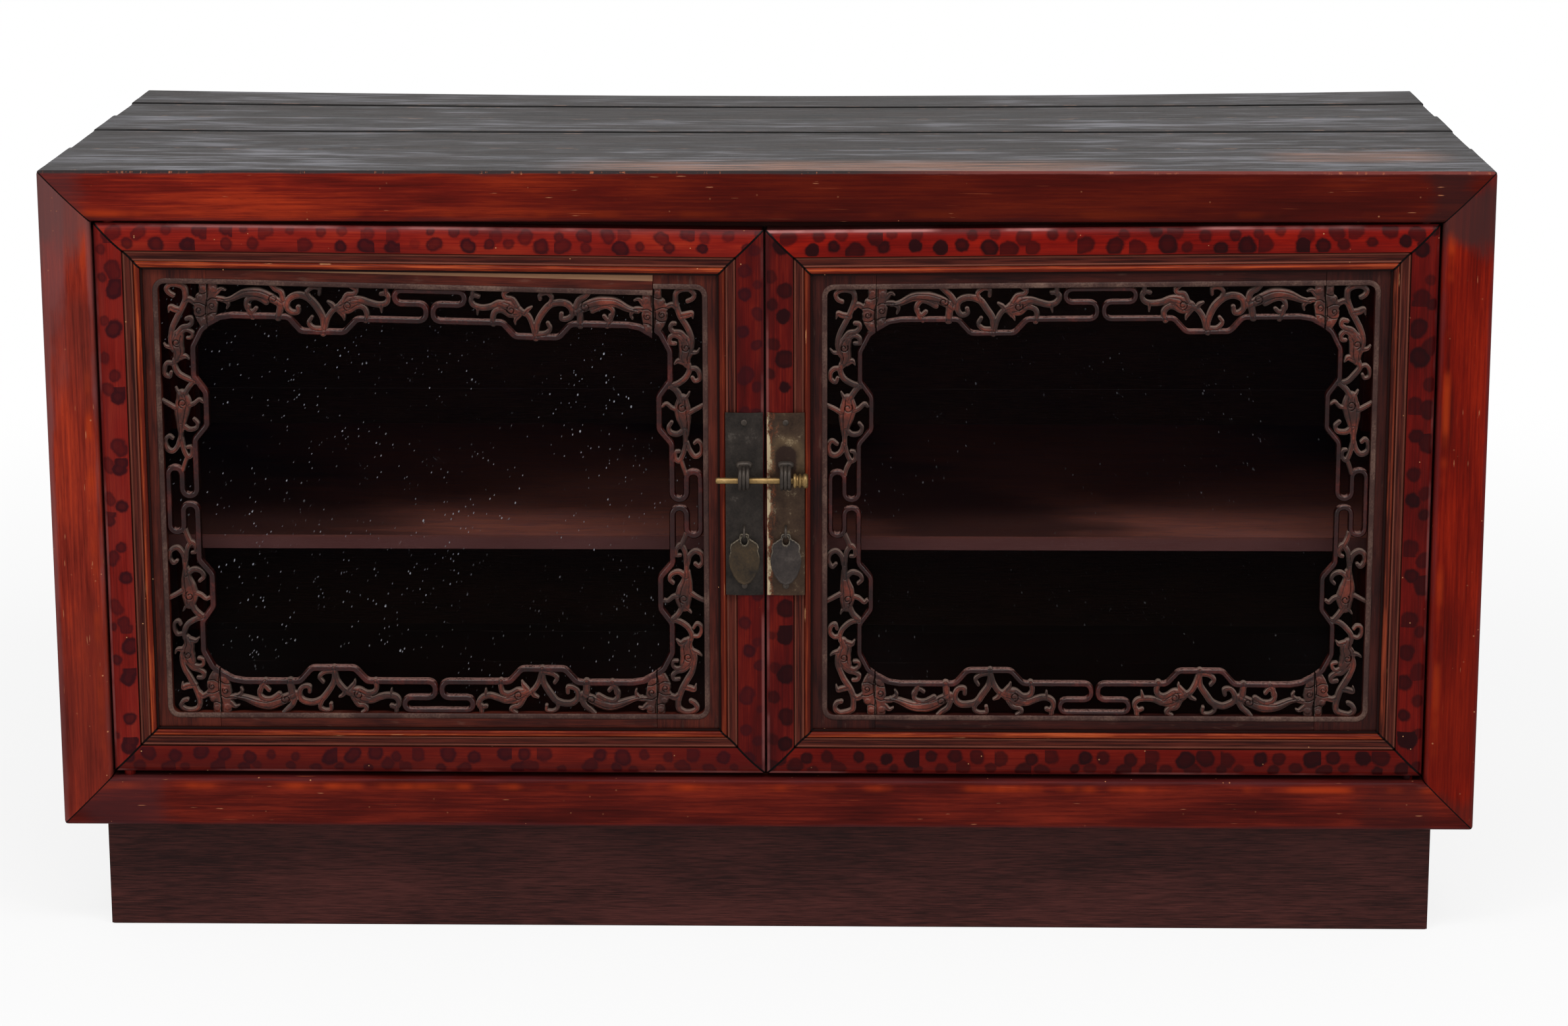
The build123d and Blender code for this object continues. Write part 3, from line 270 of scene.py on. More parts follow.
@dataclass(frozen=True)
class FrameLacquer:
    """Worn red-brown lacquer on a member of the front frame or the sides."""

    name: str
    run: Run
    low: float                      # the member's edges across its run, in millimetres
    high: float
    inner_high: bool                # whether the opening is on the high side
    dark: Colour = srgb(62, 11, 8)
    middle: Colour = srgb(100, 22, 14)
    bright: Colour = srgb(146, 44, 20)
    purple: Colour = srgb(72, 30, 32)
    grey_and_highlight_side: float = 0.0          # how far the outer half has gone grey at the upper end, partly a painted highlight on the rounded outer edge
    dim: float = 0.0                # how far the lacquer darkens to the right
    ends: tuple[float, float] | None = None         # mitred ends along the run
    crossing: tuple[float, float] = (46.0, 46.0)    # widths of the members that meet it there
    lip: bool = False               # whether the upper edge has gone grey and chipped, with a painted pink highlight toward the right
    stains: tuple[tuple[float, float, float, Colour], ...] = ()     # place, reach, strength, colour
    seed: float = 0.0

    def mitres(self, along: Signal, share: Signal) -> Signal | float:
        """Return the mask of the dark lines where the member meets its neighbours."""
        if self.ends is None:
            return 0.0
        low = abs((along - self.ends[0]) / self.crossing[0] - share)
        high = abs((self.ends[1] - along) / self.crossing[1] - share)
        return 1 - low.least(high).rise(0.008, 0.028)

    def material(self) -> bpy.types.Material:
        """Return the finish."""
        shade = Shade(self.name, {"IOR": 1.5, "Specular IOR Level": 0.045})
        along, across, depth = along_grain(shade, self.run)
        width = self.high - self.low
        outer = (self.high - across) if not self.inner_high else (across - self.low)
        share = outer / width
        clouds = shade.noise((along / 130, across / 26, depth / 30 + self.seed), 4)
        streak = shade.noise((along / 70, across / 2.2, depth / 3 + self.seed), 4, 0.6)
        fine = shade.noise((along / 12, across / 0.6, depth / 0.7 + self.seed), 3, 0.65)
        tone = clouds * 0.8 + streak * 0.65 - 0.22
        shade.base = shade.ramp(tone, (0.26, self.dark), (0.48, self.middle), (0.74, self.bright))
        shade.paint(fine.rise(0.52, 0.72) * 0.4, self.dark)
        edge = (1 - share.rise(0.02, 0.2)).most(share.rise(0.80, 0.98))
        patch = shade.noise((along / 70, across / 30, depth / 30 + self.seed + 9), 4, 0.6)
        # The outer half's grey at the upper end is partly worn grey and partly a painted highlight on the
        # rounded outer edge.
        greyed = (1 - share.rise(0.35, 0.75)) * self.grey_and_highlight_side
        if self.grey_and_highlight_side:
            greyed = greyed * (along.rise(430, 690) * 0.8 + 0.25)
        worn = (edge * 0.8 + greyed + (patch - 0.5) * 1.3).rise(0.45, 1.05)
        shade.paint(worn * 0.6, self.purple)
        glow = shade.noise((along / 90, self.seed + 3, 0.0), 3).rise(0.46, 0.62)
        shade.paint(share.between(0.78, 0.90, 0.05) * glow * 0.6, srgb(160, 52, 16))
        if self.dim:
            shade.paint(along.rise(-520, 60) * self.dim, srgb(44, 6, 3))
        for place, reach, strength, colour in self.stains:
            stain = 1 - (abs(along - place) / reach + (patch - 0.5) * 2.2).rise(0.45, 1.3)
            shade.paint(stain * strength, colour)
        spot, chance = shade.cells((along / 6, across / 6, depth / 6 + self.seed))
        chip = (1 - spot.rise(0.10, 0.17)) * chance.rise(0.93, 0.95) * (0.2 + edge)
        flake, fate = shade.cells((along / 24, across / 3.2, depth / 9 + self.seed + 5))
        scuff = (1 - (flake + (fine - 0.5) * 0.5).rise(0.06, 0.15)) * fate.rise(0.90, 0.93)
        shade.paint((chip + scuff * 0.6).least(0.8), srgb(176, 112, 78))
        scratch = shade.noise((along / 60, across / 0.8 + along / 60, depth / 9 + self.seed + 7), 1)
        shade.paint(scratch.rise(0.76, 0.82) * 0.4, srgb(168, 84, 52))
        if self.lip:
            facing = shade.facing()[2]
            ragged = facing + (fine - 0.5) * 0.5 + (patch - 0.5) * 0.5
            # The upward-facing upper edge is grey on the left and turns to a pink painted highlight toward
            # the right.
            lip_grey_and_highlight = shade.mix(along.rise(60, 260), srgb(44, 37, 37), srgb(122, 62, 56))
            shade.paint(ragged.rise(0.25, 0.6) * (1 - along.rise(60, 260) * 0.35), lip_grey_and_highlight)
            crumb = shade.noise((along / 5, (depth - across) / 3, self.seed + 2), 3, 0.7)
            bare = facing.between(0.4, 0.85, 0.12) * crumb.rise(0.56, 0.64) * patch.rise(0.46, 0.6)
            shade.paint(bare * 0.75, srgb(164, 96, 66))
        shade.paint(self.mitres(along, share), srgb(12, 4, 4))
        rough = 0.24 + clouds * 0.2 + worn * 0.15 + chip * 0.3
        relief = fine * 0.05 + streak * 0.14 + clouds * 0.4 - (chip + scuff) * 0.12
        return shade.finish(roughness=rough, height=relief)


class Member(Enum):
    """A member of a door. Its value ends the name of its node."""

    HINGE_STILE = "hinge_stile"
    LOCK_STILE = "lock_stile"
    BOTTOM_RAIL = "bottom_rail"
    TOP_RAIL = "top_rail"


@dataclass(frozen=True)
class DoorShape:
    """Sizes of a door in millimetres, for the left door; the right one is its mirror image."""

    outer: float                    # hinge edge and lock edge, from the cabinet's middle plane
    inner: float
    low: float
    hinge_top: float
    lock_top: float
    member: float                   # face width of a member, and where its mouldings lie
    band: float = 24.5
    reed: float = 2.0
    bead_start: float = 34.3
    bead_end: float = 40.1

    @property
    def slope(self) -> float:
        """Return how fast the top edge drops towards the lock side."""
        return (self.hinge_top - self.lock_top) / (self.outer - self.inner)

    def top(self, x: float) -> float:
        """Return the height of the top edge at a distance from the middle plane."""
        return self.lock_top + self.slope * (abs(x) - self.inner)

    def mitre_gap(self, x: Signal, z: Signal) -> Signal:
        """Return the distance from the nearest mitre, in millimetres."""
        side = (self.outer - abs(x)).least(abs(x) - self.inner)
        end = (z - self.low).least(self.lock_top + self.slope * (abs(x) - self.inner) - z)
        return abs(side - end) * 0.7071

    def inset(self, member: Member, x: Signal, z: Signal) -> Signal:
        """Return the distance from the door's outer edge on one of its members."""
        if member is Member.HINGE_STILE:
            return self.outer - abs(x)
        if member is Member.LOCK_STILE:
            return abs(x) - self.inner
        if member is Member.BOTTOM_RAIL:
            return z - self.low
        return self.lock_top + self.slope * (abs(x) - self.inner) - z


@dataclass(frozen=True)
class DoorLacquer:
    """Red lacquer with two rows of dark spots, grey reeds and an orange bead."""

    name: str
    shape: DoorShape
    member: Member
    red: Colour = srgb(112, 22, 15)
    deep: Colour = srgb(76, 11, 9)
    spot: Colour = srgb(42, 8, 13)
    glow: Colour = srgb(140, 40, 22)
    bead: Colour = srgb(96, 29, 16)
    # bead_light is the bead's brightest tone and is also painted as a highlight along its crest.
    bead_light: Colour = srgb(164, 72, 36)
    pitch: float = 22.0             # spacing of the spots along one row
    radius: float = 6.4
    ring: float = 0.2               # how much lighter a spot's middle is
    greyed: float = 0.0
    sheen: float = 0.4              # strength of the painted highlight along the top rail's upper edge
    seed: float = 0.0

    def spots(self, shade: Shade, along: Signal, inset: Signal) -> Signal:
        """Return the mask of the dark spots, with their rims darker than their middles."""
        warp = shade.noise((along / 9, inset / 9, self.seed), 3, 0.6) - 0.5
        total: Number = 0.0
        for row, middle, size, weight in ((0, 5.6, 0.86, 0.8), (1, 16.4, 1.0, 1.0)):
            run = along / self.pitch + row * 0.47 + self.seed
            cell = shade.math("FLOOR", run)
            side, up, big = shade.dice(cell, float(row), self.seed)
            dx = (run - cell - 0.5 - (side - 0.5) * 0.55) * self.pitch
            dy = inset - middle - (up - 0.5) * 5.0
            twin = (dx - (side - 0.5) * 16) * (dx - (side - 0.5) * 16) + (dy - 2) * (dy - 2)
            reach = shade.math("SQRT", (dx * dx + dy * dy).least(twin + (1 - big.rise(0.6, 0.65)) * 900))
            reach = reach + warp * 5.5
            radius = (0.72 + big * 0.5) * self.radius * size
            blot = 1 - reach.rise(radius - 1.7, radius + 1.1)
            hollow = (1 - self.ring) + self.ring * reach.rise(radius * 0.3, radius * 0.8)
            total = (blot * hollow * (0.65 + side * 0.35) * weight * big.rise(0.05, 0.07)).most(total)
        return total * inset.rise(0.3, 1.6) * (1 - inset.rise(self.shape.band - 1.4, self.shape.band))

    def material(self) -> bpy.types.Material:
        """Return the finish."""
        shade = Shade(self.name, {"IOR": 1.5, "Specular IOR Level": 0.05})
        x, y, z = shade.axes()
        shape = self.shape
        inset = shape.inset(self.member, x, z)
        along = z if self.member in (Member.HINGE_STILE, Member.LOCK_STILE) else x
        clouds = shade.noise((along / 80, inset / 16, self.seed), 4)
        streak = shade.noise((along / 60, inset / 1.6, y / 3 + self.seed), 4, 0.6)
        fine = shade.noise((along / 7, inset / 0.6, y / 2 + self.seed), 2, 0.6)
        band = shade.ramp(clouds * 0.8 + streak * 0.5 - 0.14, (0.28, self.deep), (0.52, self.red),
                          (0.78, self.glow))
        edge = 1 - inset.rise(0.5, 4.0)
        band = shade.mix(edge * 0.5 + self.greyed * clouds.rise(0.35, 0.65), band, srgb(66, 26, 28))
        band = shade.mix((self.spots(shade, along, inset) * 1.12).least(0.96), band, self.spot)
        reeds = shade.mix(streak.rise(0.35, 0.65), srgb(38, 14, 12), srgb(78, 32, 24))
        first = inset.between(shape.band + 0.7, shape.band + 0.6 + shape.reed, 0.35)
        second = inset.between(shape.bead_start - shape.reed, shape.bead_start - 0.2, 0.35)
        reeds = shade.mix((first + second) * (0.25 + streak * 0.55), reeds, srgb(116, 66, 52))
        # Painted shade: the grooves beside the reeds and the bead are painted near-black.
        groove_shade = inset.between(shape.band - 0.2, shape.band + 0.5, 0.3).most(
            inset.between(shape.bead_start - 0.3, shape.bead_start + 0.25, 0.25))
        reeds = shade.mix(groove_shade * 0.85, reeds, srgb(16, 5, 5))
        bead = shade.ramp(clouds * 0.55 + streak * 0.7 - 0.1, (0.26, srgb(56, 14, 9)), (0.56, self.bead),
                          (0.76, self.bead_light))
        land = shade.mix(streak, srgb(14, 5, 5), srgb(36, 14, 11))
        shade.base = shade.mix(inset.rise(shape.band - 0.3, shape.band + 0.2), band, reeds)
        shade.paint(inset.rise(shape.bead_start - 0.1, shape.bead_start + 0.3), bead)
        shade.paint(inset.rise(shape.bead_end - 0.4, shape.bead_end + 0.1), land)
        # Painted highlight: a thin bright line along the bead's crest.
        line = inset.between(shape.bead_start + 1.5, shape.bead_start + 2.7, 0.5) * streak.rise(0.3, 0.6)
        shade.paint(line * 0.75, self.bead_light)
        # Painted highlight: a pale pink sheen in patches along the outer edge, strongest on the top rail.
        rubbed = shade.noise((along / 110, self.seed + 6, 0.0), 4, 0.6).rise(0.44, 0.62)
        sheen = self.sheen if self.member is Member.TOP_RAIL else 0.25
        shade.paint(inset.between(0.3, 2.4, 0.9) * rubbed * sheen, srgb(186, 122, 118))
        spot, chance = shade.cells((along / 6, inset / 6, y / 6 + self.seed))
        chip = (1 - spot.rise(0.07, 0.13)) * chance.rise(0.95, 0.96)
        flake, fate = shade.cells((along / 26, inset / 1.9, self.seed + 4))
        rub = (1 - (flake + (fine - 0.5) * 0.6).rise(0.14, 0.28)) * fate.rise(0.82, 0.86)
        crest = shape.bead_start + 0.9
        rub = rub * inset.between(crest - 0.9, crest + 1.2, 0.4)
        shade.paint((chip * 0.7 + rub * 0.75).least(0.8), srgb(196, 142, 98))
        shade.paint(1 - shape.mitre_gap(x, z).rise(0.65, 1.2), srgb(6, 2, 2))
        rough = 0.22 + clouds * 0.16 + inset.between(shape.band, shape.bead_start, 0.4) * 0.12
        relief = fine * 0.03 + streak * 0.08 + clouds * 0.3 - chip * 0.1
        return shade.finish(roughness=rough, height=relief)


@dataclass(frozen=True)
class CarvedWood:
    """Carved hardwood: red-brown on top, tan-grey on upward faces and round the edges, partly dust and
    partly a painted highlight, with painted shade on the side walls and in the cuts.
    """

    name: str
    lift: float = 1.0               # brightness of the dust and the painted highlight
    seed: float = 0.0

    def material(self) -> bpy.types.Material:
        """Return the finish. The mesh stores edge, cut and bar in millimetres or as shares."""
        shade = Shade(self.name, {"IOR": 1.5, "Specular IOR Level": 0.18})
        x, y, z = shade.axes()
        edge, cut, bar = shade.trait("edge"), shade.trait("cut"), shade.trait("bar")
        clouds = shade.noise((x / 26, y / 26, z / 26 + self.seed), 4, 0.6)
        fine = shade.noise((x / 2.2, y / 2.2, z / 2.2 + self.seed), 4, 0.65)
        _, toward_back, facing_up = shade.facing()
        facing_out = toward_back * -1.0
        carving = shade.ramp(clouds * 0.8 + fine * 0.3, (0.34, srgb(24, 12, 10)), (0.52, srgb(54, 26, 20)),
                             (0.74, srgb(112, 46, 31)))
        line = shade.ramp(clouds * 0.7 + fine * 0.3, (0.32, srgb(18, 5, 5)), (0.52, srgb(40, 11, 10)),
                          (0.72, srgb(84, 28, 21)))
        shade.base = shade.mix(bar, carving, line)
        # Tan-grey round the strokes' edges and on upward faces: partly dust, partly a painted highlight.
        rim = (1 - edge.rise(0.25, 1.0)) * (1 - bar * 0.95)
        dust = rim * 0.75 + facing_up.rise(0.2, 0.8) * 0.55 + (clouds - 0.5) * 1.2 + (fine - 0.5) * 0.4
        tan = shade.mix(clouds, srgb(68 * self.lift, 54 * self.lift, 48 * self.lift),
                        srgb(132 * self.lift, 112 * self.lift, 102 * self.lift))
        shade.paint(dust.rise(0.1, 0.9) * (0.8 - bar * 0.66), tan)
        # Painted highlight along the upward-facing edges of the bars.
        crest = facing_up.rise(0.62, 0.86) * bar * fine.rise(0.3, 0.6)
        shade.paint(crest * 0.6, srgb(148, 112, 104))
        # Painted shade: walls that face sideways or down, and the incised cuts, are painted near-black.
        pit = (1 - facing_out.rise(0.35, 0.85)) * (1 - facing_up.rise(0.0, 0.5))
        shade.paint((pit * 0.85).most(cut * 0.9), srgb(12, 7, 6))
        rough = 0.34 + dust.rise(0.2, 0.9) * 0.28 - bar * 0.16
        relief = fine * 0.1 + clouds * 0.15
        return shade.finish(roughness=rough, height=relief)


@dataclass(frozen=True)
class PanelBorder:
    """Flat border of a carved panel: dark red-brown, rubbed redder in places."""

    name: str
    run: Run
    dark: Colour = srgb(34, 13, 12)
    red: Colour = srgb(84, 34, 24)
    bare: tuple[float, float] | None = None     # level and slope of the line above which the wood is bare
    seed: float = 0.0

    def material(self) -> bpy.types.Material:
        """Return the finish."""
        shade = Shade(self.name, {"IOR": 1.5, "Specular IOR Level": 0.07})
        along, across, depth = along_grain(shade, self.run)
        clouds = shade.noise((along / 75, across / 18, self.seed), 4, 0.6)
        streak = shade.noise((along / 40, across / 1.6, depth / 4 + self.seed), 3, 0.6)
        shade.base = shade.mix((clouds * 0.8 + streak * 0.5).rise(0.4, 0.9), self.dark, self.red)
        smear = shade.noise((along / 30, across / 8, self.seed + 3), 3, 0.6)
        shade.paint(smear.rise(0.60, 0.74) * 0.3, srgb(96, 70, 60))
        if self.bare:
            above = across - (along * self.bare[1] + self.bare[0])
            shade.paint(above.rise(-0.3, 0.4) * (0.55 + streak * 0.4), srgb(150, 112, 84))
        return shade.finish(roughness=0.34 + streak * 0.2, height=streak * 0.1 + clouds * 0.12)


@dataclass(frozen=True)
class PanelBead:
    """Raised bead round a carved field: greyish tan with red-brown showing through."""

    name: str
    seed: float = 0.0

    def material(self) -> bpy.types.Material:
        """Return the finish."""
        shade = Shade(self.name, {"IOR": 1.5, "Specular IOR Level": 0.18})
        x, y, z = shade.axes()
        clouds = shade.noise((x / 28, y / 10, z / 28 + self.seed), 4, 0.6)
        fine = shade.noise((x / 1.6, y / 1.6, z / 1.6 + self.seed), 3, 0.65)
        shade.base = shade.ramp(clouds * 0.7 + fine * 0.5 - 0.1, (0.25, srgb(32, 15, 13)),
                                (0.48, srgb(56, 34, 29)), (0.75, srgb(104, 80, 69)))
        return shade.finish(roughness=0.42 + fine * 0.2, height=fine * 0.12)


@dataclass(frozen=True)
class WeatheredBoards:
    """Bare boards gone grey-black, with raised grain and a few reddish worn patches."""

    name: str
    seams: tuple[float, ...]        # y of the seams, and of the front edge, in millimetres
    front: float

    def material(self) -> bpy.types.Material:
        """Return the finish."""
        shade = Shade(self.name, {"IOR": 1.45, "Specular IOR Level": 0.13})
        x, y, z = shade.axes()
        board = shade.trait("board")
        bend = shade.noise((x / 240, y / 90, board * 7), 2) * 14
        clouds = shade.noise((x / 190, y / 34, board * 5), 5, 0.62)
        streak = shade.noise((x / 150, (y + bend) / 5.5, z / 6 + board * 3), 5, 0.65)
        fine = shade.noise((x / 36, (y + bend) / 1.1, z / 1.5 + board * 3), 4, 0.7)
        thread = shade.noise((x / 70, (y + bend) / 13, board * 9), 3, 0.55)
        tone = clouds * 0.8 + streak * 0.6 + thread * 0.7 + fine * 0.35 - 0.74
        tone = tone + (shade.trait("tone") - 0.5) * 0.12 - x.between(-330, 330, 200) * 0.06
        shade.base = shade.ramp(tone, (0.32, srgb(9, 8, 9)), (0.50, srgb(35, 34, 36)),
                                (0.72, srgb(112, 112, 118)))
        crack = shade.noise((x / 150, (y + bend) / 2.4, board * 11), 3, 0.5)
        split = 1 - crack.rise(0.30, 0.37)
        shade.paint(split * 0.85, srgb(12, 9, 9))
        wave = (shade.noise((x / 60, board, 2.0), 4, 0.65) - 0.5) * 6.0
        seam: Number = 99.0
        seam_shadow: Number = 0.0
        for place in self.seams:
            past = y - place + wave
            seam = abs(past).least(seam)
            seam_shadow = past.between(-4.0, 12.0, 4.0).most(seam_shadow)
        rub = shade.noise((x / 34, board, 5.0), 3, 0.6)
        # Painted shadow: a dark band just behind each seam.
        shade.paint(seam_shadow * (0.7 + (rub - 0.5) * 1.4).most(0.3), srgb(12, 9, 9))
        # Painted highlight: a pale warm line in patches beside each seam.
        shade.paint(seam.between(3.5, 9.0, 2.0) * rub.rise(0.52, 0.64) * 0.6, srgb(120, 92, 78))
        worn = shade.noise((x / 90, y / 3.5, board * 2 + 4), 4, 0.6)
        middle = x.between(-150, 290, 70) * (1 - y.rise(self.front + 35, self.front + 80))
        right = x.between(470, 610, 30) * y.between(self.front + 60, self.front + 120, 15)
        shade.paint(worn.rise(0.38, 0.58) * (middle * 0.9 + right * 0.65 + 0.05), srgb(142, 102, 84))
        gap = 1 - seam.rise(2.2, 5.0)
        shade.paint(gap, srgb(6, 4, 4))
        end = abs(x).rise(600, 646)
        shade.paint(end * 0.45, srgb(28, 25, 25))
        lip = 1 - (y + wave).rise(self.front + 4, self.front + 8)
        shade.paint(lip * 0.85, srgb(20, 14, 13))
        chip = shade.noise((x / 9, 0.0, 4.0), 3, 0.7).rise(0.54, 0.62) * rub.rise(0.42, 0.56)
        shade.paint(chip * lip * 0.75, srgb(178, 122, 82))
        return shade.finish(roughness=0.44 + fine * 0.22 - streak * 0.1,
                            height=streak * 1.1 + fine * 0.4 - split * 0.8 - gap * 2.0)


@dataclass(frozen=True)
class StainedWood:
    """Dark stained wood with a short grain, for the plinth and the inside."""

    name: str
    run: Run
    dark: Colour
    light: Colour
    gloss: float = 0.4              # roughness
    worn_front: float = 0.0         # level of an upper front edge that is worn pale, in millimetres
    lit_bands: tuple[float, ...] = ()   # middles of the bands of painted light on a shelf's top; the rest of the top gets painted shadow
    raw_back: bool = False          # whether the side that faces the wall is unfinished
    seed: float = 0.0

    def material(self) -> bpy.types.Material:
        """Return the finish."""
        shade = Shade(self.name, {"IOR": 1.5, "Specular IOR Level": 0.11})
        along, across, depth = along_grain(shade, self.run)
        clouds = shade.noise((along / 150, across / 40, depth / 40 + self.seed), 3)
        streak = shade.noise((along / 26, across / 1.3, depth / 1.6 + self.seed), 4, 0.65)
        shade.base = shade.mix((streak * 0.8 + clouds * 0.4).rise(0.4, 0.85), self.dark, self.light)
        if self.worn_front:
            rub = across.rise(self.worn_front - 4, self.worn_front) * streak.rise(0.35, 0.6)
            shade.paint(rub * 0.6, srgb(140, 74, 48))
        if self.raw_back:
            wall = shade.facing()[1].rise(0.4, 0.6)
            grain = (streak * 0.7 + clouds * 0.5).rise(0.35, 0.85)
            shade.paint(wall, shade.mix(grain, srgb(62, 44, 34), srgb(118, 88, 66)))
        # Painted light and shade on a shelf: slanting pale bands where light falls, painted shadow over the
        # rest of the top, and the faces that do not face up darkened.
        if self.lit_bands:
            slant = along + depth * 0.55
            painted_light: Number = 0.0
            for middle in self.lit_bands:
                painted_light = (1 - (abs(slant - middle) / 225 + (clouds - 0.5)).rise(0.5, 1.2)).most(painted_light)
            on_top = shade.facing()[2].rise(0.4, 0.7)
            shade.paint((1 - painted_light) * 0.82 * on_top, srgb(20, 11, 11))
            shade.paint((1 - on_top) * (0.68 + (streak - 0.5) * 0.6), srgb(52, 20, 18))
        return shade.finish(roughness=self.gloss + streak * 0.2, height=streak * 0.12)


@dataclass(frozen=True)
class DustyGlass:
    """Clear pane over a dark inside, with scattered dust and fly specks and a faint painted reflection in
    the lower corners.
    """

    name: str
    dust: float = 1.0
    seed: float = 0.0

    def material(self) -> bpy.types.Material:
        """Return the finish."""
        shade = Shade(self.name, {"IOR": 1.45, "Specular IOR Level": 0.04, "Roughness": 0.06})
        x, _, z = shade.axes()
        drift = shade.noise((x / 90, z / 90, self.seed), 3)
        specks: Number = 0.0
        for size, limit, share in ((2.4, 0.15, 0.87), (3.8, 0.13, 0.84), (6.5, 0.10, 0.82),
                                   (12.0, 0.07, 0.82)):
            reach, chance = shade.cells((x / size, self.seed + size, z / size * 0.8))
            mark = 1 - reach.rise(limit * 0.5, limit * 1.3)
            specks = mark * chance.rise(share, share + 0.02) + specks
        mist = drift.rise(0.36, 0.60) * 0.9 + 0.1
        # Painted reflection: a faint pale wedge in each lower corner of the pane.
        corner_reflection = (1 - z.rise(215, 330)) * (abs(abs(x) - 300) / 240).rise(0.4, 1.0) * 0.02
        mask = (specks * mist * self.dust + corner_reflection).least(0.8)
        shade.base = shade.mix(z.rise(300, 420), srgb(16, 12, 11), srgb(3, 3, 8))
        shade.paint(mask, srgb(150, 150, 156))
        return shade.finish(alpha=0.12 + mask * 0.8)


class Metal(Enum):
    """Metal finishes of the fittings: dark colour, light colour, shine of the rubbed places."""

    DARK_BRONZE = (srgb(16, 14, 13), srgb(44, 38, 34), srgb(104, 96, 88))
    LOOP_BRONZE = (srgb(30, 26, 24), srgb(66, 58, 52), srgb(128, 118, 106))
    BROWN_BRONZE = (srgb(26, 23, 21), srgb(58, 46, 32), srgb(112, 86, 54))
    GREY_BRONZE = (srgb(28, 25, 25), srgb(56, 49, 46), srgb(100, 92, 86))
    WORN_BRASS = (srgb(32, 20, 14), srgb(60, 44, 32), srgb(186, 166, 134))
    BRIGHT_BRASS = (srgb(92, 72, 42), srgb(148, 120, 78), srgb(222, 200, 156))


@dataclass(frozen=True)
class Patina:
    """Old metal with stains, rubbed edges and small pits."""

    name: str
    metal: Metal
    rub_from: float = 0.0           # x of the rubbed edge in millimetres, and how far the rubbing reaches
    rub_reach: float = 0.0
    stain_z: tuple[float, float, float] | None = None   # x, z and radius of an arch-shaped stain
    metallic: float = 0.75
    highlight_above: float | None = None  # height above which the piece's rim carries a painted highlight
    seed: float = 0.0

    def material(self) -> bpy.types.Material:
        """Return the finish."""
        shade = Shade(self.name, {"IOR": 1.5, "Specular IOR Level": 0.2})
        x, y, z = shade.axes()
        dark, light, bright = self.metal.value
        clouds = shade.noise((x / 14, y / 14, z / 18 + self.seed), 4, 0.6)
        fine = shade.noise((x / 2, y / 2, z / 2 + self.seed), 4, 0.7)
        tone = clouds * 0.7 + fine * 0.4
        shade.base = shade.ramp(tone, (0.34, dark), (0.64, light), (1.0, bright))
        rubbed: Number = 0.0
        if self.rub_reach:
            patch = shade.noise((x / 9, 0.0, z / 22 + self.seed), 4, 0.65)
            reach = (x - self.rub_from) / self.rub_reach + (patch - 0.44) * 5.0 + (fine - 0.5) * 1.2
            rubbed = 1 - reach.rise(0.2, 1.1)
            shade.paint(rubbed * 0.85, bright)
            rust = reach.between(0.7, 1.6, 0.3) * fine.rise(0.4, 0.6)
            shade.paint(rust * 0.6, srgb(112, 58, 34))
        if self.stain_z:
            cx, cz, radius = self.stain_z
            dx, dz = x - cx, (z - cz).most(0.0)
            low = 1 - (cz - z).rise(14, 20)
            reach = shade.math("SQRT", dx * dx + dz * dz) + (fine - 0.5) * 2.0
            stain = (1 - reach.rise(radius - 1.6, radius + 0.8)) * low
            halo = reach.between(radius, radius + 8, 4) * low
            shade.paint(halo * clouds * 0.4, srgb(128, 106, 76))
            shade.paint(stain * 0.88, srgb(34, 20, 15))
        pit, chance = shade.cells((x / 2.4, y / 2.4, z / 2.4 + self.seed))
        pits = (1 - pit.rise(0.10, 0.22)) * chance.rise(0.72, 0.78)
        shade.paint(pits * 0.5, dark)
        if self.highlight_above is not None:
            # Painted highlight along the rim above that height.
            rim = (1 - shade.trait("edge").rise(0.5, 1.3)) * z.rise(self.highlight_above, self.highlight_above + 12)
            shade.paint(rim * fine.rise(0.3, 0.7) * 0.7, srgb(126, 116, 100))
        rough = 0.46 + (fine - 0.5) * 0.3 - rubbed * 0.08
        metal = self.metallic - clouds * 0.15
        return shade.finish(roughness=rough, metallic=metal,
                            height=fine * 0.09 + clouds * 0.2 - pits * 0.12)


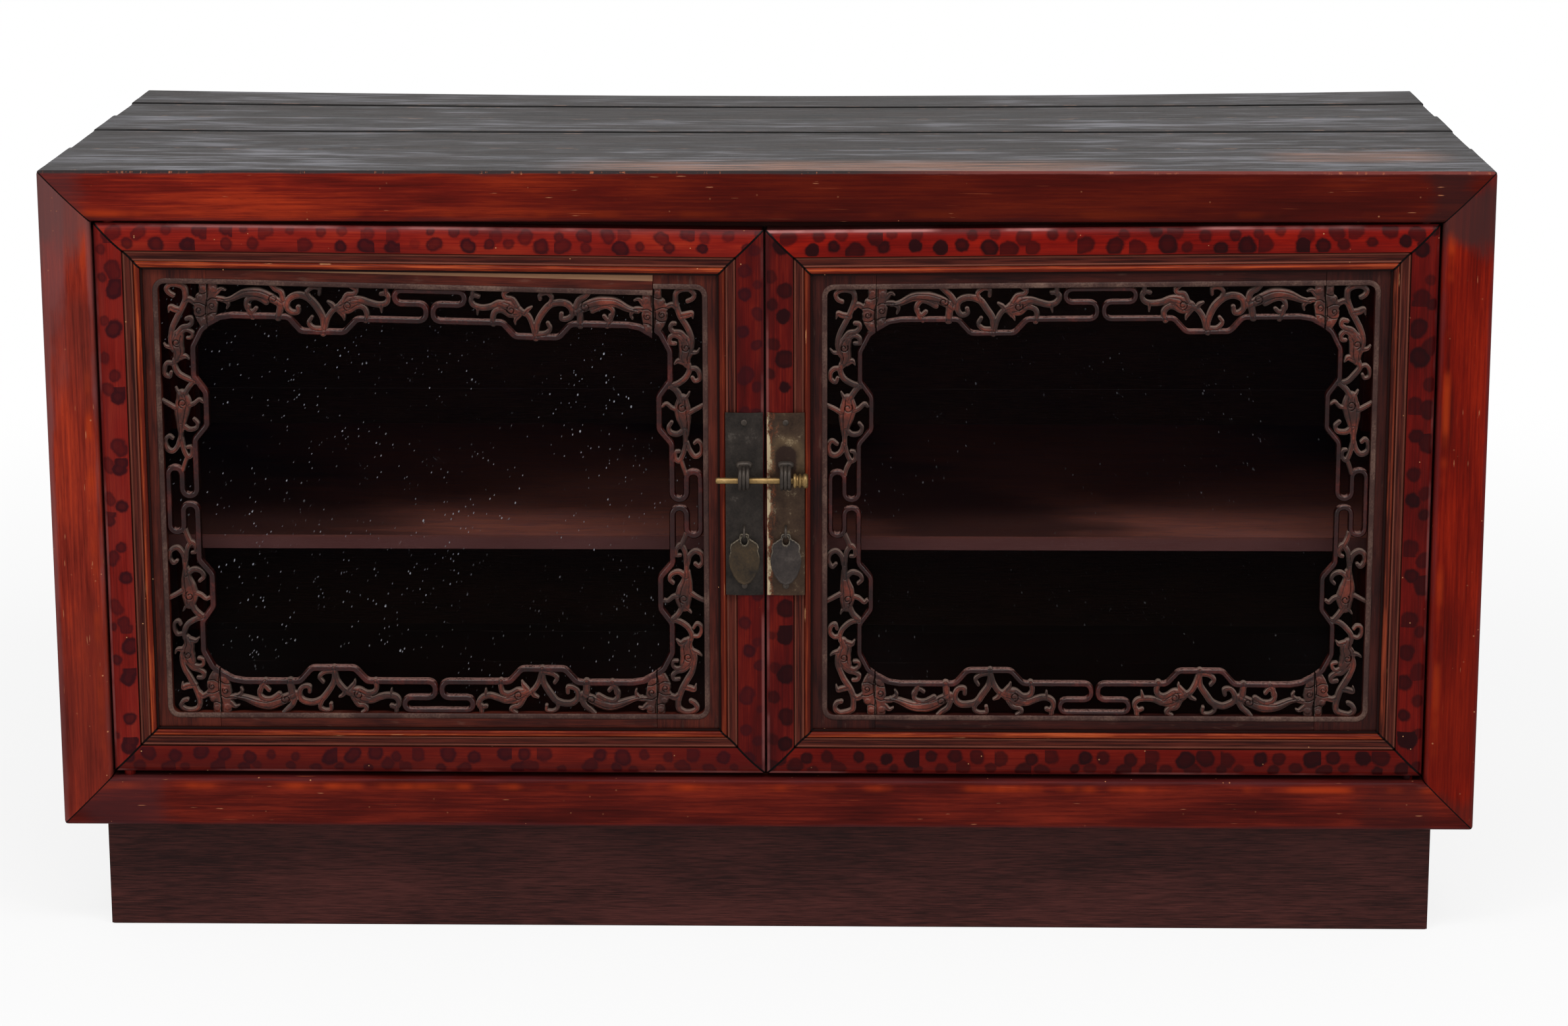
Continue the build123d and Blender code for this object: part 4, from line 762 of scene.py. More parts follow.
# ---------------------------------------------------------------- geometry trees
class Recipe(NodeTree):
    """A Geometry Nodes tree with named inputs, run once to make a plain mesh."""

    def __init__(self, name: str, inputs: dict[str, str]) -> None:
        """Start a tree.

        Args:
            name: name of the tree.
            inputs: names and kinds (Float, Int) of its inputs, beside the geometry and the material.
        """
        super().__init__(bpy.data.node_groups.new(name, "GeometryNodeTree"))
        face = self.tree.interface
        face.new_socket(name="Geometry", in_out="OUTPUT", socket_type="NodeSocketGeometry")
        self.names = {}
        for title, kind in ({"Geometry": "Geometry"} | inputs | {"Material": "Material"}).items():
            socket = face.new_socket(name=title, in_out="INPUT", socket_type=f"NodeSocket{kind}")
            self.names[title] = socket.identifier
        self.given = self.node("NodeGroupInput")

    def input(self, title: str) -> Signal:
        """Return a named input."""
        return Signal(self, self.given.outputs[title])

    def close(self, geometry: bpy.types.Node) -> None:
        """End the tree: real copies, then the material."""
        real = self.node("GeometryNodeRealizeInstances", sockets={0: geometry})
        paint = self.node("GeometryNodeSetMaterial", sockets={0: real, "Material": self.input("Material")})
        self.node("NodeGroupOutput", sockets={0: paint})

    def make(self, name: str, base: bpy.types.Mesh, values: dict[str, object]) -> bpy.types.Object:
        """Run the tree on a base mesh.

        Args:
            name: name of the new piece.
            base: points, edges or faces that the tree starts from.
            values: its named inputs.

        Returns:
            A plain mesh object at the origin.
        """
        holder = link_piece(f"{name}_base", base)
        modifier = holder.modifiers.new("recipe", "NODES")
        modifier.node_group = self.tree
        for title, value in values.items():
            modifier[self.names[title]] = value
        graph = bpy.context.evaluated_depsgraph_get()
        graph.update()
        mesh = bpy.data.meshes.new_from_object(holder.evaluated_get(graph), depsgraph=graph)
        mesh.name = name
        bpy.data.objects.remove(holder)
        return link_piece(name, mesh)


def point_mesh(name: str, paths: Iterable[np.ndarray]) -> bpy.types.Mesh:
    """Return a mesh of edges along paths of points in metres; a path of one point gives no edge."""
    points: list[Sequence[float]] = []
    edges: list[tuple[int, int]] = []
    for path in paths:
        first = len(points)
        points.extend(tuple(map(float, point)) for point in path)
        edges.extend((first + n, first + n + 1) for n in range(len(path) - 1))
    mesh = bpy.data.meshes.new(name)
    mesh.from_pydata(points, edges, [])
    return mesh


def sweep(recipe: Recipe, outline: bpy.types.Node, scale: Place, normal: tuple[float, float, float],
          capped: bool = False) -> Recipe:
    """Run a scaled outline along the paths of a recipe's mesh, and end the recipe."""
    curve = recipe.node("GeometryNodeMeshToCurve", sockets={0: recipe.input("Geometry")})
    face = recipe.node("GeometryNodeSetCurveNormal", {"mode": "FREE"}, {0: curve, "Normal": normal})
    profile = recipe.node("GeometryNodeTransform", sockets={0: outline, "Scale": recipe.vector(*scale)})
    run = recipe.node("GeometryNodeCurveToMesh",
                      sockets={"Curve": face, "Profile Curve": profile, "Fill Caps": capped})
    recipe.close(recipe.node("GeometryNodeSetShadeSmooth", sockets={0: run}))
    return recipe


def swept_bead() -> Recipe:
    """Return the tree that runs a half-round bead along a path, its crown to the front."""
    recipe = Recipe("Swept bead", {"Width": "Float", "Height": "Float"})
    arc = recipe.node("GeometryNodeCurveArc", {"mode": "RADIUS"},
                      {"Resolution": 11, "Radius": 1.0, "Start Angle": -pi / 2, "Sweep Angle": pi,
                       "Connect Center": False})
    return sweep(recipe, arc, (recipe.input("Height"), recipe.input("Width") * 0.5, 1.0), (0.0, -1.0, 0.0))


def swept_wire() -> Recipe:
    """Return the tree that runs an oval wire along each path."""
    recipe = Recipe("Swept wire", {"Radius": "Float", "Flatness": "Float"})
    ring = recipe.node("GeometryNodeCurvePrimitiveCircle", {"mode": "RADIUS"},
                       {"Resolution": 20, "Radius": recipe.input("Radius")})
    return sweep(recipe, ring, (1.0, recipe.input("Flatness"), 1.0), (1.0, 0.0, 0.0), capped=True)


def nail_heads() -> Recipe:
    """Return the tree that sets a domed head on each point, its crown to the front."""
    recipe = Recipe("Nail heads", {"Radius": "Float", "Rise": "Float", "Seed": "Int"})
    ball = recipe.node("GeometryNodeMeshUVSphere", sockets={"Segments": 28, "Rings": 14, "Radius": 1.0})
    size = recipe.vector(recipe.input("Radius"), recipe.input("Rise"), recipe.input("Radius"))
    head = recipe.node("GeometryNodeTransform", sockets={0: ball, "Scale": size})
    uneven = recipe.node("FunctionNodeRandomValue", {"data_type": "FLOAT"},
                         {2: 0.9, 3: 1.08, "Seed": recipe.input("Seed")})
    copies = recipe.node("GeometryNodeInstanceOnPoints",
                         sockets={"Points": recipe.input("Geometry"), "Instance": head,
                                  "Scale": uneven.outputs[1]})
    recipe.close(recipe.node("GeometryNodeSetShadeSmooth", sockets={0: copies}))
    return recipe


def loose_boards() -> Recipe:
    """Return the tree that sets a board on each point, by the point's own length, depth and thickness."""
    worn_above = 0.712              # height in metres above which the boards have sagged unevenly
    recipe = Recipe("Loose boards", {"Sag": "Float"})
    sizes = [recipe.node("GeometryNodeInputNamedAttribute", {"data_type": "FLOAT"}, {"Name": name})
             for name in ("length", "depth", "thickness")]
    block = recipe.node("GeometryNodeMeshCube", sockets={"Size": (1.0, 1.0, 1.0), "Vertices X": 90,
                                                         "Vertices Y": 9, "Vertices Z": 2})
    copies = recipe.node("GeometryNodeInstanceOnPoints",
                         sockets={"Points": recipe.input("Geometry"), "Instance": block,
                                  "Scale": recipe.vector(*sizes)})
    real = recipe.node("GeometryNodeRealizeInstances", sockets={0: copies})
    place = recipe.node("GeometryNodeInputPosition")
    stretch = recipe.node("ShaderNodeVectorMath", {"operation": "MULTIPLY"},
                          {0: place, 1: (2.2, 16.0, 0.0)})
    cloud = recipe.node("ShaderNodeTexNoise", sockets={"Vector": stretch, "Scale": 1.0, "Detail": 2.0})
    down = recipe.math("MULTIPLY", Signal(recipe, cloud.outputs["Fac"]), recipe.input("Sag")) * -1.0
    upper = recipe.math("GREATER_THAN", recipe.parts(place.outputs[0])[2], worn_above)
    recipe.close(recipe.node("GeometryNodeSetPosition", sockets={0: real, "Selection": upper,
                                                                 "Offset": recipe.vector(0.0, 0.0, down)}))
    return recipe


# ---------------------------------------------------------------- relief meshes
def smooth_path(points: Sequence[Point]) -> np.ndarray:
    """Return points along a smooth curve through the given ones (Catmull-Rom)."""
    step = 0.9
    knots = np.asarray(points, float)
    if len(knots) == 2:
        count = max(2, int(np.hypot(*(knots[1] - knots[0])) / step))
        return knots[0] + (knots[1] - knots[0]) * np.linspace(0, 1, count)[:, None]
    padded = np.vstack([2 * knots[0] - knots[1], knots, 2 * knots[-1] - knots[-2]])
    run = []
    for a, b, c, d in zip(padded, padded[1:], padded[2:], padded[3:]):
        t = np.linspace(0, 1, max(3, int(np.hypot(*(c - b)) / step)), endpoint=False)[:, None]
        run.append(0.5 * (2 * b + (c - a) * t + (2 * a - 5 * b + 4 * c - d) * t ** 2
                          + (3 * b - a - 3 * c + d) * t ** 3))
    return np.vstack([*run, knots[-1:]])


def rounded_path(points: Sequence[Point], radius: float, closed: bool = False,
                 parts: int = 6) -> np.ndarray:
    """Return straight runs with their corners turned into arcs."""
    knots = [np.asarray(p, float) for p in points]
    count = len(knots)
    run: list[np.ndarray] = []
    for index, here in enumerate(knots):
        if not closed and index in (0, count - 1):
            run.append(here)
            continue
        before, after = knots[index - 1] - here, knots[(index + 1) % count] - here
        length_in, length_out = np.hypot(*before), np.hypot(*after)
        before, after = before / length_in, after / length_out
        half = np.arccos(np.clip(before @ after, -1, 1)) / 2
        reach = min(radius / np.tan(half), 0.48 * length_in, 0.48 * length_out)
        start, end = here + before * reach, here + after * reach
        for t in np.linspace(0, 1, parts + 1):
            run.append((1 - t) ** 2 * start + 2 * t * (1 - t) * (0.8 * here + 0.1 * (start + end))
                       + t ** 2 * end)
    return np.array(run)


class Carve(Enum):
    """How a stroke is carved: level of its top in millimetres and radius of its shoulder."""

    LINE = (7.4, 99.0)              # half-round all over
    SCROLL = (7.1, 1.6)
    BODY = (8.1, 99.0)
    LEAF = (6.7, 1.3)


@dataclass(frozen=True)
class Stroke:
    """A carved stroke of a quarter of the field: half widths along it and the points it follows."""

    carve: Carve
    widths: tuple[float, ...]
    points: tuple[Point, ...]


# Faces of a grid cell for each set of its corners that are solid: 0-3 are corners, 4-7 points on its edges.
CELL_FACES = {1: [(0, 4, 7)], 2: [(4, 1, 5)], 3: [(0, 1, 5, 7)], 4: [(5, 2, 6)], 5: [(0, 4, 7), (5, 2, 6)],
              6: [(4, 1, 2, 6)], 7: [(0, 1, 2, 6, 7)], 8: [(7, 6, 3)], 9: [(0, 4, 6, 3)],
              10: [(4, 1, 5), (7, 6, 3)], 11: [(0, 1, 5, 6, 3)], 12: [(7, 5, 2, 3)],
              13: [(0, 4, 5, 2, 3)], 14: [(4, 1, 2, 3, 7)], 15: [(0, 1, 2, 3)]}


@dataclass
class Relief:
    """A height field over a rectangle in millimetres, meshed where something stands."""

    x0: float
    x1: float
    z0: float
    z1: float
    step: float
    edge_level: float = 4.5
    xs: np.ndarray = field(init=False)
    zs: np.ndarray = field(init=False)

    def __post_init__(self) -> None:
        """Lay out the grid."""
        self.xs = np.arange(self.x0 - self.step, self.x1 + 2 * self.step, self.step)
        self.zs = np.arange(self.z0 - self.step, self.z1 + 2 * self.step, self.step)
        shape = (len(self.zs), len(self.xs))
        self.gap = np.full(shape, 9.0)
        self.level = np.full(shape, self.edge_level)
        self.cut = np.zeros(shape)
        self.bar = np.zeros(shape)

    def window(self, low: np.ndarray, high: np.ndarray) -> tuple[slice, slice] | None:
        """Return the part of the grid between two corners."""
        i0, i1 = np.searchsorted(self.xs, (low[0], high[0]))
        j0, j1 = np.searchsorted(self.zs, (low[1], high[1]))
        if i1 - i0 < 1 or j1 - j0 < 1:
            return None
        return slice(j0, j1), slice(i0, i1)

    def distance(self, path: np.ndarray, widths: np.ndarray, margin: float) -> tuple | None:
        """Return the part of the grid near a path and there the distance to the path's side."""
        reach = widths.max() + margin
        part = self.window(path.min(0) - reach, path.max(0) + reach)
        if part is None:
            return None
        x, z = np.meshgrid(self.xs[part[1]], self.zs[part[0]])
        best = np.full(x.shape, 99.0)
        for a, b, wa, wb in zip(path[:-1], path[1:], widths[:-1], widths[1:]):
            run = b - a
            length = max(run @ run, 1e-9)
            t = np.clip(((x - a[0]) * run[0] + (z - a[1]) * run[1]) / length, 0, 1)
            away = np.hypot(x - a[0] - t * run[0], z - a[1] - t * run[1])
            best = np.minimum(best, away - wa - t * (wb - wa))
        return part, best

    def add(self, path: np.ndarray, widths: np.ndarray, carve: Carve) -> None:
        """Carve one stroke."""
        found = self.distance(path, widths, 1.5)
        if found is None:
            return
        part, gap = found
        top, shoulder = carve.value
        self.raise_to(part, gap, top, min(shoulder, widths.max()), carve is Carve.LINE)
        if carve is Carve.SCROLL and widths.max() > 2.1:
            self.groove_at(part, -gap, 1.2, 0.38, 0.55)
        if carve is Carve.LEAF:
            self.incise(path, 0.4, 0.6)
        if carve is Carve.BODY and len(path) > 3:
            turn = np.gradient(path, axis=0)
            turn /= np.maximum(np.hypot(turn[:, 0], turn[:, 1]), 1e-6)[:, None]
            side = np.stack([-turn[:, 1], turn[:, 0]], axis=1) * (widths * 0.42)[:, None]
            self.incise(path + side, 0.42, 0.8)
            self.incise(path - side * 1.2, 0.36, 0.5)

    def raise_to(self, part: tuple[slice, slice], gap: np.ndarray, top: float, shoulder: float,
                 is_bar: bool) -> None:
        """Raise the field where the gap is negative, with a rounded shoulder."""
        share = np.clip(-gap / max(shoulder, 0.4), 0, 1)
        level = self.edge_level + (top - self.edge_level) * np.sqrt(1 - (1 - share) ** 2)
        inside = gap < 0.35
        higher = inside & (level >= self.level[part] - 1e-6)
        self.level[part] = np.where(higher, level, self.level[part])
        self.bar[part] = np.where(higher, float(is_bar), self.bar[part])
        self.gap[part] = np.minimum(self.gap[part], gap)

    def groove_at(self, part: tuple[slice, slice], depth_in: np.ndarray, where: float, half: float,
                  deep: float) -> None:
        """Cut a fine groove that follows a stroke's side."""
        mark = np.exp(-((depth_in - where) / half) ** 2)
        self.level[part] -= deep * mark
        self.cut[part] = np.maximum(self.cut[part], mark * 0.8)

    def incise(self, path: np.ndarray, half: float, deep: float) -> None:
        """Cut a groove along a path."""
        found = self.distance(path, np.zeros(len(path)), 3 * half)
        if found is None:
            return
        part, gap = found
        mark = np.exp(-(gap / half) ** 2)
        self.level[part] -= deep * mark
        self.cut[part] = np.maximum(self.cut[part], mark)

    def shape_gap(self, outline: np.ndarray, margin: float) -> tuple | None:
        """Return the part of the grid near a closed shape and there the distance to it, below 0 inside."""
        closed = np.vstack([outline, outline[:1]])
        found = self.distance(closed, np.zeros(len(closed)), margin)
        if found is None:
            return None
        part, gap = found
        x, z = np.meshgrid(self.xs[part[1]], self.zs[part[0]])
        inside = np.zeros(x.shape, bool)
        for a, b in zip(closed[:-1], closed[1:]):
            crosses = (a[1] > z) != (b[1] > z)
            inside ^= crosses & (x < a[0] + (z - a[1]) / (b[1] - a[1] + 1e-12) * (b[0] - a[0]))
        return part, np.where(inside, -gap, gap)

    def add_shape(self, outline: np.ndarray, carve: Carve) -> None:
        """Carve a closed shape."""
        found = self.shape_gap(outline, 1.5)
        if found is not None:
            top, shoulder = carve.value
            self.raise_to(*found, top, min(shoulder, 3.0), False)

    def clip(self, gap: np.ndarray) -> None:
        """Keep only what lies where the given gap is negative."""
        self.gap = np.maximum(self.gap, gap)

    def mesh(self, name: str, place: Callable[[np.ndarray, np.ndarray, np.ndarray], np.ndarray],
             back_level: float, flip: bool) -> bpy.types.Mesh:
        """Mesh the field: carved front, flat back and walls.

        Args:
            name: name of the mesh.
            place: turns x, level and z in millimetres into points in metres.
            back_level: level of the flat back.
            flip: whether place mirrors the shape.

        Returns:
            A mesh with the numbers edge, cut and bar on its points.
        """
        solid = -self.gap
        inside = solid > 0
        rows, cols = solid.shape
        index = np.cumsum(inside.ravel()).reshape(rows, cols) - 1
        jj, ii = np.nonzero(inside)
        px, pz = [self.xs[ii]], [self.zs[jj]]
        traits = [np.stack([solid[jj, ii], self.level[jj, ii], self.cut[jj, ii], self.bar[jj, ii]])]
        count = len(ii)

        def crossings(axis: int) -> np.ndarray:
            """Add the points where the outline crosses the grid's edges and return their numbers."""
            nonlocal count
            ahead = (slice(None), slice(1, None)) if axis else (slice(1, None), slice(None))
            here = (slice(None), slice(0, -1)) if axis else (slice(0, -1), slice(None))
            cross = inside[here] != inside[ahead]
            ids = np.full(cross.shape, -1)
            j, i = np.nonzero(cross)
            j2, i2 = (j, i + 1) if axis else (j + 1, i)
            a, b = solid[j, i], solid[j2, i2]
            t = np.clip(a / (a - b), 0.02, 0.98)
            ids[j, i] = count + np.arange(len(j))
            count += len(j)
            px.append(self.xs[i] + t * (self.xs[i2] - self.xs[i]))
            pz.append(self.zs[j] + t * (self.zs[j2] - self.zs[j]))
            bar = np.where(a > 0, self.bar[j, i], self.bar[j2, i2])
            zeros = np.zeros(len(j))
            traits.append(np.stack([zeros, zeros + self.edge_level, zeros, bar]))
            return ids

        across, upward = crossings(1), crossings(0)
        corner = [index[:-1, :-1], index[:-1, 1:], index[1:, 1:], index[1:, :-1]]
        side = [across[:-1, :], upward[:, 1:], across[1:, :], upward[:, :-1]]
        slots = np.stack([*corner, *side])
        held = (inside[:-1, :-1], inside[:-1, 1:], inside[1:, 1:], inside[1:, :-1])
        code = sum(corners.astype(int) << n for n, corners in enumerate(held))
        faces: list[np.ndarray] = []
        rims: list[np.ndarray] = []
        for key, shapes in CELL_FACES.items():
            j, i = np.nonzero(code == key)
            for shape in shapes:
                faces.append(slots[list(shape)][:, j, i].T)
                for a, b in zip(shape, shape[1:] + shape[:1]):
                    if a >= 4 and b >= 4:
                        rims.append(slots[[a, b]][:, j, i].T)
        x, z = np.concatenate(px), np.concatenate(pz)
        depth, level, cut, bar = np.concatenate(traits, axis=1)
        rim = np.concatenate(rims)
        front = place(x, level, z)
        back = place(x, np.full(len(x), back_level), z)
        walls = np.stack([rim[:, 1], rim[:, 0], rim[:, 0] + count, rim[:, 1] + count], axis=1)
        everything = [*faces, *[face[:, ::-1] + count for face in faces], walls]
        if flip:
            everything = [face[:, ::-1] for face in everything]
        mesh = bpy.data.meshes.new(name)
        points = np.concatenate([front, back])
        mesh.vertices.add(len(points))
        mesh.vertices.foreach_set("co", points.ravel())
        sizes = np.concatenate([np.full(len(face), face.shape[1]) for face in everything])
        loops = np.concatenate([face.ravel() for face in everything])
        mesh.loops.add(len(loops))
        mesh.loops.foreach_set("vertex_index", loops.astype(np.int32))
        mesh.polygons.add(len(sizes))
        loop_starts = np.concatenate([[0], np.cumsum(sizes)[:-1]])
        mesh.polygons.foreach_set("loop_start", loop_starts.astype(np.int32))
        mesh.update(calc_edges=True)
        store(mesh, edge=np.tile(depth, 2), cut=np.tile(cut, 2), bar=np.tile(bar, 2))
        smooth_over(mesh, 50)
        return mesh


def store(mesh: bpy.types.Mesh, **traits: Sequence[float]) -> None:
    """Store named numbers on a mesh's points."""
    for label, values in traits.items():
        trait = mesh.attributes.new(label, "FLOAT", "POINT")
        trait.data.foreach_set("value", np.asarray(values, np.float32))


def smooth_over(mesh: bpy.types.Mesh, sharp: float) -> None:
    """Shade a mesh smooth but for edges above an angle in degrees."""
    mesh.shade_smooth()
    mesh.set_sharp_from_angle(angle=radians(sharp))


def points_of(mesh: bpy.types.Mesh) -> np.ndarray:
    """Return a mesh's points in metres."""
    points = np.empty(len(mesh.vertices) * 3)
    mesh.vertices.foreach_get("co", points)
    return points.reshape(-1, 3)


def set_points(mesh: bpy.types.Mesh, points: np.ndarray) -> None:
    """Move a mesh's points."""
    mesh.vertices.foreach_set("co", points.ravel())
    mesh.update()


def built_mesh(name: str, build: bmesh.types.BMesh) -> bpy.types.Mesh:
    """Turn a build into a mesh whose faces look outwards."""
    bmesh.ops.recalc_face_normals(build, faces=build.faces)
    mesh = bpy.data.meshes.new(name)
    build.to_mesh(mesh)
    build.free()
    return mesh


def round_edges(piece: bpy.types.Object, label: str, width: float, segments: int) -> None:
    """Round a piece's sharp edges by a width in millimetres."""
    bevel = piece.modifiers.new(label, "BEVEL")
    bevel.width = width * MM
    bevel.segments = segments
    bevel.limit_method = "ANGLE"
    bevel.angle_limit = radians(60)


def link_piece(name: str, mesh: bpy.types.Mesh,
               material: bpy.types.Material | None = None) -> bpy.types.Object:
    """Put a mesh into the scene as a piece at the origin."""
    piece = bpy.data.objects.new(name, mesh)
    bpy.context.scene.collection.objects.link(piece)
    if material:
        mesh.materials.clear()
        mesh.materials.append(material)
    return piece


def hand_over(piece: bpy.types.Object, body: str, slot: str, *nodes: str) -> None:
    """Attach a piece to the body it rides on, hide the nodes it stands for and log it."""
    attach(piece, body)
    if nodes:
        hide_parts(*nodes)
    log.info("%s rides on %s, %d faces", piece.name, body, len(piece.data.polygons))


def dress(node: str, material: bpy.types.Material) -> None:
    """Give a node of the frame its finish."""
    mesh = frame["nodes"][node].data
    mesh.materials.clear()
    mesh.materials.append(material)
    log.info("%s is dressed in %s", node, material.name)


# ---------------------------------------------------------------- carved panels
# A quarter of the carved field in millimetres: across from the opening's side, down from its top.
INNER_LINE = ((2.7, 201), (2.7, 171), (15.5, 171), (15.5, 197), (28.5, 197), (28.5, 144.6), (39.8, 131),
              (39.8, 100.6), (29.5, 86.3), (29.5, 58.3), (37.6, 42.5), (44.9, 36.9), (55.8, 30.8),
              (66.7, 29), (117.5, 29), (128.9, 42), (168.4, 42), (179.8, 29.5), (242.4, 29.5),
              (242.4, 14.1), (214, 14.1), (214, 1.8), (245.5, 1.8))
HALF_SIZE = (245.5, 201.0)
MASK = ((36.7, -1.5), (36.7, 7.9), (34, 12.6), (29.9, 17.3), (32.2, 21.9), (31.3, 27.5), (34, 34.1),
        (38.5, 41.6), (44.9, 38), (52.2, 31), (53.5, 23.8), (54.4, 18.2), (52.6, 14.5), (54.4, 7.9),
        (53.5, -1.5))
MASK_BULGES = ((40.6, 4.0, 4.0), (50.0, 5.0, 4.2), (37.2, 12.8, 3.8), (36.0, 24.6, 4.6), (48.6, 20.5, 4.8),
               (40.4, 34.4, 4.4), (47.6, 31.2, 4.0))
MASK_LINES = (((45.4, 0), (45.2, 10), (43, 18), (42.4, 28), (44, 37)), ((36, 8.6), (40, 9.6), (44.6, 7.6)),
              ((31.4, 18.4), (36.6, 17.8), (42.8, 20.4)), ((53.4, 14), (48.6, 13.4), (44.4, 16)),
              ((32.4, 30), (37.6, 30.6), (42.6, 28)), ((53, 26.6), (48, 27), (43.2, 30)))
SPIRALS = ((36.4, 24.4, 3.0), (48.8, 20.3, 3.2), (15.0, 54.6, 3.9), (18.6, 110.5, 4.4),
           (104.5, 12.6, 4.6), (171.8, 17.2, 4.2))
SIDE_MOTIFS = tuple(Stroke(*row) for row in (
    # corner tail, with its leaf and the bridge to the mask
    (Carve.SCROLL, (2.0, 2.6, 2.7, 2.3), ((12.9, 11.4), (9, 9.6), (7.2, 5.2), (11.2, 1.4),
     (17.7, 1.2), (23.1, 4.0), (24.6, 9.6), (23.4, 16.2), (20, 24.6), (15.6, 33), (11.8, 41),
     (9.6, 48.4), (9.6, 55), (12, 61))),
    (Carve.LEAF, (2.9, 2.8, 0.7), ((19.6, 25.4), (13.6, 24.2), (9.4, 22.6), (8.2, 27.4))),
    (Carve.LEAF, (2.6, 2.4), ((23.6, 17.6), (27.4, 14.8), (32.6, 17.4))),
    # tendrils under the corner and the first body
    (Carve.SCROLL, (2.4, 2.2, 1.9), ((14.6, 46.6), (19.6, 41.4), (25.6, 39.8), (29.0, 36.6),
     (28.2, 32.6), (24.4, 32.8))),
    (Carve.SCROLL, (2.1, 2.0, 1.8), ((17.4, 49), (20.6, 44.8), (25.2, 43.2), (29.2, 46.0),
     (28.6, 50.2), (25, 50.6))),
    (Carve.BODY, (5.2, 6.6, 6.2, 5.0, 3.2), ((17.4, 47.6), (15.2, 52.5), (15.2, 58.5), (16.4, 64),
     (14.4, 70.5))),
    (Carve.LEAF, (2.4, 0.8), ((10.5, 59.4), (5.4, 58.6), (2.8, 56.0))),
    (Carve.LEAF, (3.0, 2.4, 0.8), ((17, 68.6), (22.4, 67.2), (25.4, 70.4))),
    # link to the second creature
    (Carve.SCROLL, (2.5, 2.5), ((12.8, 70.6), (11.8, 76), (15.6, 82.8), (22.8, 88.4), (31, 90.6))),
    (Carve.SCROLL, (1.9, 2.1, 1.6), ((10.8, 74.6), (6, 74.0), (2.8, 78), (3.2, 84.0), (7.2, 86.0),
     (9.2, 82.4))),
    (Carve.SCROLL, (2.5, 2.5), ((28.2, 91.2), (23.4, 96.4), (19.6, 104))),
    (Carve.LEAF, (2.2, 0.8), ((18.4, 103.6), (14.6, 100.4), (12.6, 96.6))),
    (Carve.BODY, (5.0, 7.4, 6.8, 4.6, 3.0), ((18.2, 103), (18.8, 110.5), (17.8, 117.5), (16.4, 126),
     (15.8, 136))),
    (Carve.SCROLL, (2.2, 1.8), ((12.4, 115.6), (6.6, 112.2), (-1.0, 108.0))),
    (Carve.SCROLL, (2.2, 1.6), ((24, 113.0), (28.6, 111.4), (33.2, 107.6), (36.5, 109.0))),
    (Carve.SCROLL, (2.4, 2.2, 1.6), ((16.6, 130.6), (22.6, 135.6), (29.4, 134.4), (31.6, 129.2),
     (28.4, 125.4))),
    (Carve.SCROLL, (2.6, 2.4), ((15.8, 131), (15.8, 145))),
    (Carve.SCROLL, (2.3, 2.3, 1.7), ((15.4, 143.6), (12.8, 151.6), (7.6, 156), (2.2, 153.2),
     (1.6, 146.0), (4.6, 141.4), (8.2, 144))),
    (Carve.SCROLL, (2.3, 2.3, 1.7), ((15.9, 144), (17.7, 154.6), (21.4, 160.9), (25.2, 158.2),
     (25.0, 152.6), (21.6, 151.6))),
    (Carve.SCROLL, (2.1, 2.0), ((20.8, 160.4), (17.8, 167.6), (16.2, 173))),
))
